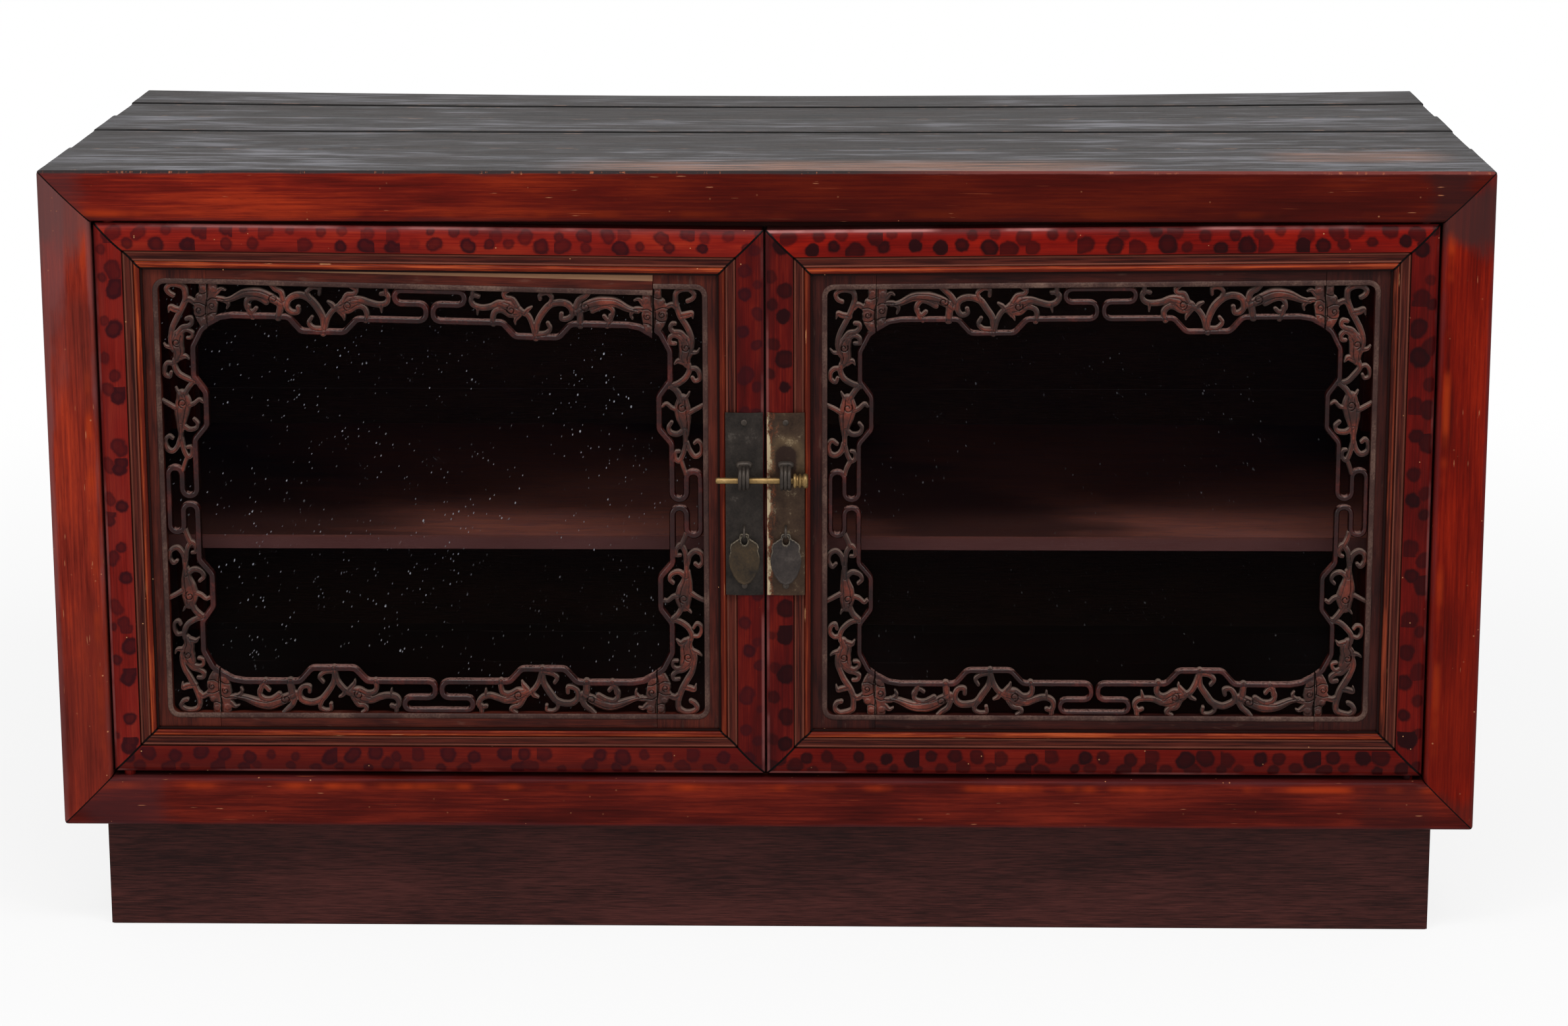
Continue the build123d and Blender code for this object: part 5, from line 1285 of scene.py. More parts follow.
TOP_MOTIFS = tuple(Stroke(*row) for row in (
    # sprig beyond the mask and the first creature
    (Carve.LEAF, (2.6, 2.0, 0.9), ((52.6, 8.4), (57, 4.6), (60.6, 5.8))),
    (Carve.LEAF, (2.4, 2.2, 1.0), ((53.8, 13.6), (59.6, 14.2), (63.6, 18.6), (62.4, 22.6))),
    (Carve.BODY, (1.9, 3.0, 4.4, 5.6, 4.4, 3.6), ((57.5, 15.2), (66, 13.4), (77.5, 8.4), (87, 7.6),
     (96, 9.6), (104.6, 13), (112.4, 17.6))),
    (Carve.SCROLL, (2.4, 2.2, 1.8), ((98.2, 16.6), (91.2, 12.6), (84.6, 11.9), (80.4, 15.2),
     (80.2, 20.8), (84.4, 24.8), (88.4, 21.4))),
    (Carve.SCROLL, (2.2, 2.2), ((81.4, 20), (82.2, 25), (85.2, 30))),
    (Carve.SCROLL, (2.5, 2.8), ((101.4, -2.0), (105.6, 3.0), (110.6, 6.6), (113.4, 13.2))),
    (Carve.SCROLL, (3.4, 3.2), ((110.8, 15.6), (109.8, 21), (108.8, 30))),
    # scroll between the creatures
    (Carve.SCROLL, (2.0, 2.9, 3.0, 2.6), ((126.2, 19.6), (126, 24.2), (120.4, 24.6), (117.2, 20.0),
     (117.6, 13.8), (122.4, 9.8), (129.6, 9.0), (137.4, 12.2), (143.4, 19.4), (148, 27.4),
     (149.6, 34.6), (149.4, 43))),
    (Carve.SCROLL, (2.6, 2.2, 1.7), ((147.8, 39.4), (140.6, 38.2), (136.0, 33.6), (138.8, 28.8))),
    (Carve.SCROLL, (2.1, 2.0, 1.7), ((137.6, 12.2), (135.4, 5.4), (139.6, 1.2), (145.9, 2.3),
     (145.8, 7.2))),
    (Carve.SCROLL, (2.5, 2.4), ((150.2, 39.4), (152.8, 29.6), (157, 22.4), (162.6, 18.4),
     (168.6, 17))),
    (Carve.LEAF, (2.3, 2.2, 1.2), ((159.6, 21), (157.2, 16.6), (153.6, 14.6))),
    (Carve.LEAF, (2.3, 2.2, 0.8), ((163.6, 22), (167.6, 26.6), (168.4, 30.4))),
    # second creature
    (Carve.BODY, (5.2, 7.4, 6.4, 3.6), ((165.6, 19.6), (171.4, 17.4), (176.4, 14.2), (181.6, 12.2))),
    (Carve.SCROLL, (3.4, 2.9, 2.6, 2.1), ((175.4, 13.4), (182.7, 11.6), (190.8, 14.6), (198.8, 16),
     (205.6, 14.2), (208.4, 9.2), (206.4, 4.8), (201.6, 5.6))),
    (Carve.LEAF, (2.1, 0.8), ((201.6, 16), (202.2, 22.6))),
    (Carve.SCROLL, (2.3, 2.2), ((206.6, 6), (206.0, -2))),
    (Carve.SCROLL, (2.7, 2.5), ((173.6, 21.4), (179.9, 17.9), (186, 19), (188.6, 24.2), (187.6, 31))),
    (Carve.SCROLL, (2.4, 2.3, 2.0), ((166.6, 13.6), (170.8, 7.4), (176.9, 6.0), (178.6, 2.4),
     (174.6, -0.6))),
))


class Strip(Enum):
    """The four strips of a carved panel."""

    HINGE = "hinge"
    LOCK = "lock"
    TOP = "top"
    BOTTOM = "bottom"

    @property
    def upright(self) -> bool:
        """Return whether the strip runs up the door."""
        return self in (Strip.HINGE, Strip.LOCK)


@dataclass
class CarvedPanel:
    """The openwork panel of one door: four strips, each with its border, bead and carving."""

    side: str
    shape: DoorShape
    joint: float                    # |x| of the joints beside the hinge and lock strips
    lock_joint: float
    rebate: float                   # inset of the panel's outer edge
    y_face: float                   # border's face and the panel's back, in millimetres
    y_back: float
    seed: int
    line_half: float = 2.8          # half width of the line round the pane
    border: float = 8.2
    bead: float = 4.9
    bead_rise: float = 1.2
    corner_radius: float = 6.0
    grid: float = 0.5
    back_gap: float = 1.0
    drop_angle: float = 0.0         # top strip turned about its hinge end, in degrees
    joint_gap: float = 0.2
    carved_depth: float = 50.0      # how far the carving of a level strip reaches from its long edge

    @property
    def field_inset(self) -> float:
        """Return the distance of the carved field's edge from the door's outer edge."""
        return self.shape.member + self.border + self.bead

    @property
    def flip(self) -> bool:
        """Return whether this door is the mirror image."""
        return self.side == "right"

    def point(self, x: np.ndarray, level: np.ndarray, z: np.ndarray) -> np.ndarray:
        """Turn the left door's x, height over the panel's back and z into points of this door."""
        sign = -1 if self.flip else 1
        return np.stack([x * sign * MM, (self.y_back - level) * MM, z * MM], axis=1)

    def inset_box(self, inset: float) -> list[Point]:
        """Return the corners of the door's outline moved inwards, counter-clockwise from low hinge side."""
        shape = self.shape
        x0, x1 = -shape.outer + inset, -shape.inner - inset
        return [(x0, shape.low + inset), (x1, shape.low + inset), (x1, shape.top(x1) - inset),
                (x0, shape.top(x0) - inset)]

    def quarter(self, x: float, y: float, at_lock: bool, at_top: bool) -> Point:
        """Map a point of the quarter pattern to the left door."""
        (x0, z0), (x1, _), _, _ = self.inset_box(self.field_inset)
        stretch = (x1 - x0) / 2 / HALF_SIZE[0]
        px = x1 - x * stretch if at_lock else x0 + x * stretch
        top = self.shape.top(px) - self.shape.member - self.border - self.bead
        down = y * (top - z0) / 2 / HALF_SIZE[1]
        return px, (top - down if at_top else z0 + down)

    def window(self, strip: Strip) -> tuple[float, float, float, float]:
        """Return the rectangle that a strip fills between its joints."""
        (x0, z0), (x1, _), (_, z_lock), (_, z_hinge) = self.inset_box(self.rebate)
        low_joint, high_joint = -self.joint, -self.lock_joint
        middle = (z0 + z_hinge) / 2
        inner = low_joint + self.joint_gap, high_joint - self.joint_gap
        return {Strip.HINGE: (x0, low_joint - self.joint_gap, z0, z_hinge),
                Strip.LOCK: (high_joint + self.joint_gap, x1, z0, z_lock),
                Strip.TOP: (*inner, middle, z_hinge), Strip.BOTTOM: (*inner, z0, middle)}[strip]

    def opening_gap(self, relief: Relief, inset: float) -> np.ndarray:
        """Return how far each grid point lies outside the rounded opening."""
        x, z = np.meshgrid(relief.xs, relief.zs)
        (x0, z0), (x1, _), _, _ = self.inset_box(inset)
        top = self.shape.lock_top + self.shape.slope * (-x - self.shape.inner) - inset
        radius = self.corner_radius
        gx = np.maximum(x0 + radius - x, x - (x1 - radius))
        gz = np.maximum(z0 + radius - z, z - (top - radius))
        corner = np.hypot(np.maximum(gx, 0), np.maximum(gz, 0))
        return np.where((gx > 0) & (gz > 0), corner, np.maximum(gx, gz)) - radius

    def carving(self, strip: Strip) -> bpy.types.Mesh:
        """Return the carved field of one strip."""
        x0, x1, z0, z1 = self.window(strip)
        inset = self.field_inset
        (fx0, fz0), (fx1, _), _, (_, fz1) = self.inset_box(inset - 2.0)
        if strip.upright:
            box = max(x0, fx0), min(x1, fx1), max(z0, fz0), min(z1, fz1)
        elif strip is Strip.BOTTOM:
            box = x0, x1, fz0, fz0 + self.carved_depth
        else:
            box = x0, x1, fz1 - self.carved_depth - 6, fz1
        relief = Relief(*box, self.grid)
        dice = np.random.default_rng(self.seed * 10 + list(Strip).index(strip))
        for at_lock in (False, True):
            for at_top in (False, True):
                if at_lock == (strip is Strip.LOCK) if strip.upright else at_top == (strip is Strip.TOP):
                    self.carve_quarter(relief, at_lock, at_top, dice)
        x = np.meshgrid(relief.xs, relief.zs)[0]
        joints = {Strip.HINGE: x - x1, Strip.LOCK: x0 - x}.get(strip, np.maximum(x0 - x, x - x1))
        relief.clip(np.maximum(joints, self.opening_gap(relief, inset - 1.6)))
        return relief.mesh(f"{self.side}_{strip.value}_carving", self.point, self.back_gap, self.flip)

    def carve_quarter(self, relief: Relief, at_lock: bool, at_top: bool, dice: np.random.Generator) -> None:
        """Carve one quarter's lines and motifs, each a little uneven."""
        def mapped(points: Iterable[Point], shake: float = 0.0) -> list[Point]:
            """Return the points on the door, each moved by chance."""
            moved = []
            for px, py in points:
                dx, dy = dice.normal(0, shake, 2) if shake else (0.0, 0.0)
                inside = -0.5 < py and -0.5 < px
                moved.append(self.quarter(px + dx * inside, py + dy * inside, at_lock, at_top))
            return moved

        line = rounded_path(mapped(INNER_LINE), 6.5)
        relief.add(line, np.full(len(line), self.line_half), Carve.LINE)
        relief.add_shape(rounded_path(mapped(MASK), 2.4, closed=True), Carve.LEAF)
        for px, py, radius in MASK_BULGES:
            cx, cz = self.quarter(px, py, at_lock, at_top)
            relief.add(np.array([(cx - 0.1, cz), (cx + 0.1, cz)]), np.full(2, radius), Carve.BODY)
        for stroke in (*SIDE_MOTIFS, *TOP_MOTIFS):
            path = smooth_path(mapped(stroke.points, 0.3))
            given = np.array(stroke.widths) * dice.uniform(0.93, 1.1)
            widths = np.interp(np.linspace(0, 1, len(path)), np.linspace(0, 1, len(given)), given)
            relief.add(path, widths, stroke.carve)
        for px, py, radius in SPIRALS:
            cx, cz = self.quarter(px, py, at_lock, at_top)
            turn = np.linspace(0.35, 1.0, 40)
            angle = turn * 3.4 * pi * (1 if at_lock != at_top else -1) + dice.uniform(0, 0.8)
            coil = [cx + radius * turn * np.cos(angle), cz + radius * turn * np.sin(angle)]
            relief.incise(np.stack(coil, axis=1), 0.5, 1.15)
        for crease in MASK_LINES:
            relief.incise(smooth_path(mapped(crease)), 0.5, 1.1)

    def border_mesh(self, strip: Strip) -> bpy.types.Mesh:
        """Return the flat border of one strip, with its hidden edge under the door's lip."""
        x0, x1, z0, z1 = self.window(strip)
        inner = self.inset_box(self.field_inset)
        top = self.shape.top
        if strip.upright:
            cut, far = (x1, x0) if strip is Strip.HINGE else (x0, x1)
            ring = [tuple(p) for p in rounded_path(inner, self.corner_radius, closed=True)
                    if (p[0] < cut if strip is Strip.HINGE else p[0] > cut)]
            middle = (z0 + z1) / 2
            low = sorted((p for p in ring if p[1] < middle), key=lambda p: abs(p[0] - cut))
            high = sorted((p for p in ring if p[1] >= middle), key=lambda p: -abs(p[0] - cut))
            outline = [(cut, z0), (cut, inner[0][1]), *low, *high, (cut, top(cut) - self.field_inset),
                       (cut, top(cut) - self.rebate), (far, top(far) - self.rebate), (far, z0)]
            if strip is Strip.HINGE:
                outline = outline[::-1]
        elif strip is Strip.TOP:
            outline = [(x0, top(x0) - self.field_inset), (x1, top(x1) - self.field_inset),
                       (x1, top(x1) - self.rebate), (x0, top(x0) - self.rebate)]
        else:
            outline = [(x0, z0), (x1, z0), (x1, inner[0][1]), (x0, inner[0][1])]
        face = np.array(outline)
        if strip is Strip.TOP:
            face = self.dropped(face)
        build = bmesh.new()
        front, back = (
            [build.verts.new(p) for p in self.point(face[:, 0], np.full(len(face), level), face[:, 1])]
            for level in (self.y_back - self.y_face, 0.0))
        build.faces.new(front)
        build.faces.new(back[::-1])
        for one, two, three, four in zip(front, back, back[1:] + back[:1], front[1:] + front[:1]):
            build.faces.new((one, two, three, four))
        return built_mesh(f"{self.side}_{strip.value}_border", build)

    def bead_path(self, strip: Strip) -> np.ndarray:
        """Return the middle line of a strip's bead in millimetres."""
        x0, x1, _, _ = self.window(strip)
        inset = self.shape.member + self.border + self.bead / 2
        corners = self.inset_box(inset)
        if strip is Strip.TOP:
            return self.dropped(np.array([(x, self.shape.top(x) - inset) for x in (x0, x1)]))
        if strip is Strip.BOTTOM:
            return np.array([(x, corners[0][1]) for x in (x0, x1)])
        cut, far = (x1, corners[0][0]) if strip is Strip.HINGE else (x0, corners[1][0])
        run = [(cut, corners[0][1]), (far, corners[0][1]), (far, self.shape.top(far) - inset),
               (cut, self.shape.top(cut) - inset)]
        return rounded_path(run, self.corner_radius + self.bead / 2, parts=10)

    def dropped(self, points: np.ndarray) -> np.ndarray:
        """Turn points of the top strip about its upper hinge end."""
        if not self.drop_angle:
            return points
        x0 = self.window(Strip.TOP)[0]
        centre = np.array([x0, self.shape.top(x0) - self.rebate])
        turn = radians(self.drop_angle)
        spin = np.array([[cos(turn), sin(turn)], [-sin(turn), cos(turn)]])
        return (points - centre) @ spin.T + centre

    def build(self, bead: Recipe) -> None:
        """Make the four strips and set them in place of the plain ones."""
        lift = 1.08 if self.flip else 1.0
        carved = CarvedWood(f"{self.side}_carved_wood", lift, self.seed).material()
        round_bead = PanelBead(f"{self.side}_panel_bead", self.seed).material()
        tones = {"dark": srgb(22, 9, 9), "red": srgb(60, 24, 19)} if self.flip else {}
        for strip in Strip:
            run = Run.UP if strip.upright else Run.ACROSS
            bare = None
            if strip is Strip.TOP and self.drop_angle:
                x0, slope = self.window(strip)[0], -self.shape.slope - radians(self.drop_angle)
                bare = (self.shape.top(x0) - self.shape.member - slope * x0, slope)
            flat = PanelBorder(f"{self.side}_{strip.value}_border", run, bare=bare,
                               seed=self.seed + 2 * len(strip.value), **tones).material()
            prefix = f"{self.side}_{strip.value}"
            mesh = self.carving(strip)
            if strip is Strip.TOP and self.drop_angle:
                turn_mesh(mesh, self.dropped, self.flip)
            carving = link_piece(f"{prefix}_carving", mesh, carved)
            border = link_piece(f"{prefix}_border", self.border_mesh(strip), flat)
            path = self.bead_path(strip)
            line = self.point(path[:, 0], np.full(len(path), self.y_back - self.y_face), path[:, 1])
            beading = bead.make(f"{prefix}_bead", point_mesh(f"{prefix}_path", [line]),
                                {"Width": self.bead * MM, "Height": self.bead_rise * MM,
                                 "Material": round_bead})
            for piece in (carving, border, beading):
                hand_over(piece, f"{self.side}_door", "carved_panels", f"{prefix}_openwork")


def turn_mesh(mesh: bpy.types.Mesh, turn: Callable[[np.ndarray], np.ndarray], flip: bool) -> None:
    """Turn a mesh in the door's plane."""
    points = points_of(mesh)
    sign = -1 if flip else 1
    flat = turn(points[:, (0, 2)] * (sign / MM, 1 / MM))
    points[:, 0], points[:, 2] = flat[:, 0] * sign * MM, flat[:, 1] * MM
    set_points(mesh, points)


# ---------------------------------------------------------------- fittings
SIDES = {"left": -1, "right": 1}

# One side of a pull from its eye to its tip, as shares of the half width and of the height.
LEAF_SIDE = ((0.31, 0.0), (0.31, 0.09), (0.58, 0.14), (0.86, 0.20), (0.94, 0.27), (0.89, 0.34),
             (0.98, 0.43), (1.0, 0.55), (0.91, 0.69), (0.70, 0.83), (0.40, 0.95), (0.0, 1.0))

# The lock pin's knob, as shares of its length and of its radius.
KNOB = ((0.04, 0.94), (0.12, 1.0), (0.20, 0.96), (0.26, 0.74), (0.33, 0.72), (0.40, 0.9), (0.46, 0.98),
        (0.53, 0.92), (0.58, 0.72), (0.64, 0.74), (0.71, 0.96), (0.82, 1.0), (0.93, 0.95), (0.985, 0.8),
        (1.0, 0.55), (1.0, 0.0))


@dataclass
class Fittings:
    """Nails, pin loops, staples, pulls and the lock pin."""

    plate_x: float                  # middle of the right plate, in millimetres
    y_plate: float                  # crown of the plates
    y_pin: float
    z_pin: float
    z_loop: float
    y_pull: float
    z_pull: float
    loop_radius: float = 9.6        # to the middle of a rib
    rib_radius: float = 1.8
    rib_pitch: float = 3.4
    hood: tuple[float, float, float] = (7.6, 4.2, 4.0)      # half width, reach and half height
    staple_radius: float = 5.0
    staple_wire: float = 1.2
    pin_radius: float = 2.8
    knob_length: float = 13.7
    eye: tuple[float, float, float] = (3.0, 4.25, 2.2)      # a pull's eye: half sizes and web above

    def bend(self, piece: str, node: str, wire: Recipe, bronze: bpy.types.Material, radius: float,
             thickness: float, centre: Point, leg: float, steps: int, offsets: Sequence[float]) -> None:
        """Bend one side's arcs of wire, side by side, with legs that end in the plate."""
        side = node.split("_")[0]
        paths = []
        for offset in offsets:
            x = SIDES[side] * self.plate_x + offset
            arc = [(x, centre[0] - radius * cos(a), centre[1] + radius * sin(a))
                   for a in np.linspace(-pi / 2, pi / 2, steps)]
            foot = self.y_plate + leg
            paths.append(np.array([(x, foot, arc[0][2]), *arc, (x, foot, arc[-1][2])]) * MM)
        made = wire.make(piece, point_mesh(f"{piece}_path", paths),
                         {"Radius": thickness * MM, "Flatness": 1.0, "Material": bronze})
        hand_over(made, f"{side}_door", "dark_bronze", node)

    def loops(self, wire: Recipe, bronze: bpy.types.Material) -> None:
        """Bend each pin loop from three ribs side by side, with a hood above."""
        for side in SIDES:
            self.bend(f"{side}_loop_ribs", f"{side}_pin_loop", wire, bronze, self.loop_radius,
                      self.rib_radius, (self.y_pin, self.z_loop), 2.5, 19,
                      [n * self.rib_pitch for n in (-1, 0, 1)])
            self.hood_over(side, bronze)

    def hood_over(self, side: str, bronze: bpy.types.Material) -> None:
        """Beat a rounded hood where a loop comes out of its plate."""
        build = bmesh.new()
        bmesh.ops.create_uvsphere(build, u_segments=28, v_segments=14, radius=1.0)
        half, reach, tall = self.hood
        centre = Vector((SIDES[side] * self.plate_x, self.y_plate + 1.0,
                         self.z_loop + self.loop_radius + 0.6))
        for vert in build.verts:
            x, y, z = (copysign(abs(value) ** 0.75, value) for value in vert.co)
            vert.co = (centre + Vector((x * half, y * (reach + 1.0), z * tall))) * MM
        mesh = built_mesh(f"{side}_loop_hood", build)
        mesh.shade_smooth()
        hand_over(link_piece(mesh.name, mesh, bronze), f"{side}_door", "dark_bronze")

    def staples(self, wire: Recipe, bronze: bpy.types.Material) -> None:
        """Bend each pull's staple from wire."""
        for side in SIDES:
            self.bend(f"{side}_staple_wire", f"{side}_pull_staple", wire, bronze, self.staple_radius,
                      self.staple_wire, (self.y_pull, self.z_pull), 2.0, 13, (0.0,))

    def nails(self, heads: Recipe, metal: bpy.types.Material) -> None:
        """Set the plates' nails."""
        for side, sign in SIDES.items():
            low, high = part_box(f"{side}_plate_nails")
            inset = (high[0] - low[0]) / 2
            points = np.array([(sign * self.plate_x * MM, self.y_plate * MM, z)
                               for z in (low[2] + inset, high[2] - inset)])
            piece = heads.make(f"{side}_nail_heads", point_mesh(f"{side}_nail_points", points[:, None]),
                               {"Radius": inset, "Rise": 1.35 * MM, "Seed": 3 + sign, "Material": metal})
            hand_over(piece, f"{side}_door", "worn_brass", f"{side}_plate_nails")

    def pulls(self, finishes: dict[str, bpy.types.Material]) -> None:
        """Make the leaf-shaped pulls, dished inside a raised rim."""
        thickness = 1.6
        eye_half, eye_tall, web = self.eye
        for side, sign in SIDES.items():
            low, high = (Vector(c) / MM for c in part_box(f"{side}_pull"))
            half, top, fall = (high.x - low.x) / 2, high.z, high.z - low.z
            other_side = tuple((-a, b) for a, b in LEAF_SIDE[-2::-1])
            outline = [(a * half, top - b * fall) for a, b in LEAF_SIDE + other_side]
            relief = Relief(-half, half, low.z, top, 0.4, edge_level=thickness)
            gap = relief.shape_gap(rounded_path(outline, 2.2, closed=True, parts=4), 60)[1]
            x, z = np.meshgrid(relief.xs, relief.zs)
            rim = np.exp(-((-gap - 0.9) / 0.7) ** 2) * 0.5
            belly = 1 - np.hypot(x / (half * 0.9), (z - (top - 0.55 * fall)) / (half * 1.25)) ** 2
            relief.level = thickness + rim + 0.7 * np.clip(belly, 0, 1)
            eye = np.hypot(x / eye_half, (z - (top - web - eye_tall)) / eye_tall)
            relief.gap = np.maximum(gap, (1 - eye) * eye_half)
            relief.bar = np.zeros(x.shape)
            centre_x = sign * self.plate_x

            def place(px: np.ndarray, level: np.ndarray, pz: np.ndarray) -> np.ndarray:
                """Stand the leaf upright at its plate."""
                return np.stack([(centre_x + px) * MM, (high.y - level) * MM, pz * MM], axis=1)

            mesh = relief.mesh(f"{side}_pull_leaf", place, 0.0, False)
            piece = link_piece(mesh.name, mesh, finishes[side])
            hand_over(piece, f"{side}_pull", "dark_bronze", f"{side}_pull")

    def pin(self, brass: bpy.types.Material) -> None:
        """Turn the lock pin and its ringed knob."""
        low, high = (Vector(c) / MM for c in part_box("lock_pin"))
        radius, knob, length = self.pin_radius, (high.z - low.z) / 2, self.knob_length
        start = high.x - length
        profile = [(low.x, 0.0), (low.x, radius - 1.0), (low.x + 0.5, radius - 0.3), (low.x + 1.4, radius)]
        wavy = np.linspace(low.x + 6, start - 0.6, 9)
        profile += [(x, radius - 0.08 * (n % 2)) for n, x in enumerate(wavy)]
        profile += [(start - 0.2, radius), (start, knob * 0.62)]
        profile += [(start + a * length, knob * b) for a, b in KNOB]
        build = bmesh.new()
        rings = [[build.verts.new((x * MM, (self.y_pin + r * cos(a)) * MM, (self.z_pin + r * sin(a)) * MM))
                  for a in np.linspace(0, 2 * pi, 40 if r else 1, endpoint=False)] for x, r in profile]
        for one, two in zip(rings[:-1], rings[1:]):
            for n in range(40):
                m = (n + 1) % 40
                ends = [one[0]] if len(one) == 1 else [one[n], one[m]]
                build.faces.new(ends + ([two[0]] if len(two) == 1 else [two[m], two[n]]))
        mesh = built_mesh("turned_pin", build)
        smooth_over(mesh, 50)
        hand_over(link_piece("turned_pin", mesh, brass), "lock_pin", "bright_brass", "lock_pin")


# ---------------------------------------------------------------- case
def softened(node: str, corners: tuple[Vector, Vector]) -> bpy.types.Mesh:
    """Return a front member's mesh with the front's outer edges rounded and a little uneven."""
    radius, step = 4.5, 18.0
    build = bmesh.new()
    build.from_mesh(frame["nodes"][node].data)
    low, high = (np.array(c) / MM for c in corners)
    cuts = [(axis, edge + sign * radius * share) for axis, edge, sign in (
        (0, low[0], 1), (0, high[0], -1), (1, low[1], 1), (2, low[2], 1), (2, high[2], -1))
        for share in (0.14, 0.32, 0.54, 0.8, 1.1)]
    cuts += [(axis, place) for axis in (0, 2) for place in np.arange(low[axis] + step, high[axis], step)]
    for axis, place in cuts:
        normal = np.eye(3)[axis]
        bmesh.ops.bisect_plane(build, geom=build.verts[:] + build.edges[:] + build.faces[:],
                               plane_co=normal * place * MM, plane_no=normal)
    bmesh.ops.remove_doubles(build, verts=build.verts, dist=1e-7)
    points = np.array([vert.co for vert in build.verts]) / MM
    inner_low, inner_high = low + radius, high - radius
    inner_high[1] = 1e6
    nearest = np.clip(points, inner_low, inner_high)
    away = points - nearest
    reach = np.linalg.norm(away, axis=1)
    wear = 0.25 * (np.sin(points[:, 0] / 37) + np.sin(points[:, 2] / 23 + 1.7) * np.sin(points[:, 0] / 91))
    limit = radius - np.where(reach > radius * 1.05, np.abs(wear), 0)
    scale = np.where(reach > radius, limit / np.maximum(reach, 1e-9), 1.0)
    for vert, point in zip(build.verts, (nearest + away * scale[:, None]) * MM):
        vert.co = point
    mesh = built_mesh(f"{node}_worn", build)
    smooth_over(mesh, 32)
    return mesh


def ease_edges(node: str, width: float) -> None:
    """Break the sharp edges of a plain node, whose loose triangles are joined first."""
    piece = frame["nodes"][node]
    piece.modifiers.new("joined", "WELD").merge_threshold = 0.001 * MM
    round_edges(piece, "eased", width, 2)


@dataclass
class TopBoards:
    """The loose boards of the top."""

    seams: tuple[float, ...] = (0.27, 0.48, 0.66, 0.83)
    shortfall: tuple[float, ...] = (0.0, 0.8, 0.2, 1.8, 0.6)
    drop: tuple[float, ...] = (0.0, 0.9, 0.2, 1.2, 0.4)      # how much lower each board's top lies
    gap: float = 0.6
    sag: float = 1.5
    bow: float = 5.5                # how far the rear board has sunk at its middle

    def build(self) -> None:
        """Make the boards and round their edges."""
        low, high = (Vector(c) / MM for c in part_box("top_boards"))
        y_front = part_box("front_top_rail")[0][1] / MM
        depth = high.y - y_front
        edges = [low.y, *(y_front + share * depth for share in self.seams), high.y]
        points, sizes = [], []
        for n, (short, drop) in enumerate(zip(self.shortfall, self.drop)):
            y0, y1 = edges[n] + (self.gap if n else 0), edges[n + 1] - self.gap * 0.5
            sizes.append(((high.x - low.x - 2 * short) * MM, (y1 - y0) * MM, (high.z - low.z - drop) * MM))
            points.append([(0.0, (y0 + y1) / 2 * MM, low.z * MM + sizes[-1][2] / 2)])
        base = point_mesh("board_points", points)
        store(base, **dict(zip(("length", "depth", "thickness"), zip(*sizes))))
        finish = WeatheredBoards("weathered_boards", tuple(edges[1:-1]), low.y).material()
        piece = loose_boards().make("top_board_set", base, {"Sag": self.sag * MM, "Material": finish})
        self.bend(piece.data, low, high)
        board = np.searchsorted(np.array(edges[1:-1]), points_of(piece.data)[:, 1] / MM)
        tones = np.random.default_rng(4).uniform(0, 1, len(edges))
        store(piece.data, board=board, tone=tones[board])
        round_edges(piece, "round", 1.6, 3)
        smooth_over(piece.data, 40)
        hand_over(piece, "case", "top_boards", "top_boards")

    def bend(self, mesh: bpy.types.Mesh, low: Vector, high: Vector) -> None:
        """Sink the boards' tops towards the middle of the back."""
        points = points_of(mesh)
        back = np.clip((points[:, 1] / MM - low.y) / (high.y - low.y), 0, 1) ** 1.3
        middle = 1 - np.clip(points[:, 0] / MM / high.x, -1, 1) ** 2
        upper = points[:, 2] / MM > (low.z + high.z) / 2
        points[:, 2] -= upper * back * middle * self.bow * MM
        set_points(mesh, points)


# The front frame's members: run, axis across, whether the inner edge is the high one, and the finish.
FRONT_MEMBERS = {
    "front_top_rail": (Run.ACROSS, 2, False, {
        "dim": 0.75, "lip": True,
        "stains": ((-640.0, 36.0, 0.6, srgb(66, 36, 36)), (612.0, 24.0, 0.6, srgb(34, 20, 20)))}),
    "front_bottom_rail": (Run.ACROSS, 2, True, {
        "middle": srgb(74, 17, 12), "bright": srgb(112, 32, 19), "dark": srgb(46, 9, 7),
        "stains": ((-590.0, 40.0, 0.5, srgb(60, 32, 34)), (575.0, 34.0, 0.4, srgb(40, 18, 18)))}),
    "front_left_stile": (Run.UP, 0, True, {
        "middle": srgb(114, 33, 22), "bright": srgb(156, 50, 26), "grey_and_highlight_side": 1.15,
        "purple": srgb(104, 66, 66),
        "stains": ((700.0, 56.0, 0.75, srgb(86, 58, 57)), (560.0, 50.0, 0.25, srgb(92, 44, 38)),
                   (200.0, 110.0, 0.45, srgb(84, 30, 24)))}),
    "front_right_stile": (Run.UP, 0, False, {
        "middle": srgb(98, 14, 5), "bright": srgb(132, 28, 9), "dark": srgb(60, 7, 4),
        "stains": ((680.0, 30.0, 0.85, srgb(52, 32, 31)), (250.0, 120.0, 0.35, srgb(76, 13, 6)),
                   (120.0, 20.0, 0.5, srgb(60, 24, 20)))}),
}


def span(node: str, axis: int) -> tuple[float, float]:
    """Return a node's low and high end along an axis, in millimetres."""
    low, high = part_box(node)
    return low[axis] / MM, high[axis] / MM


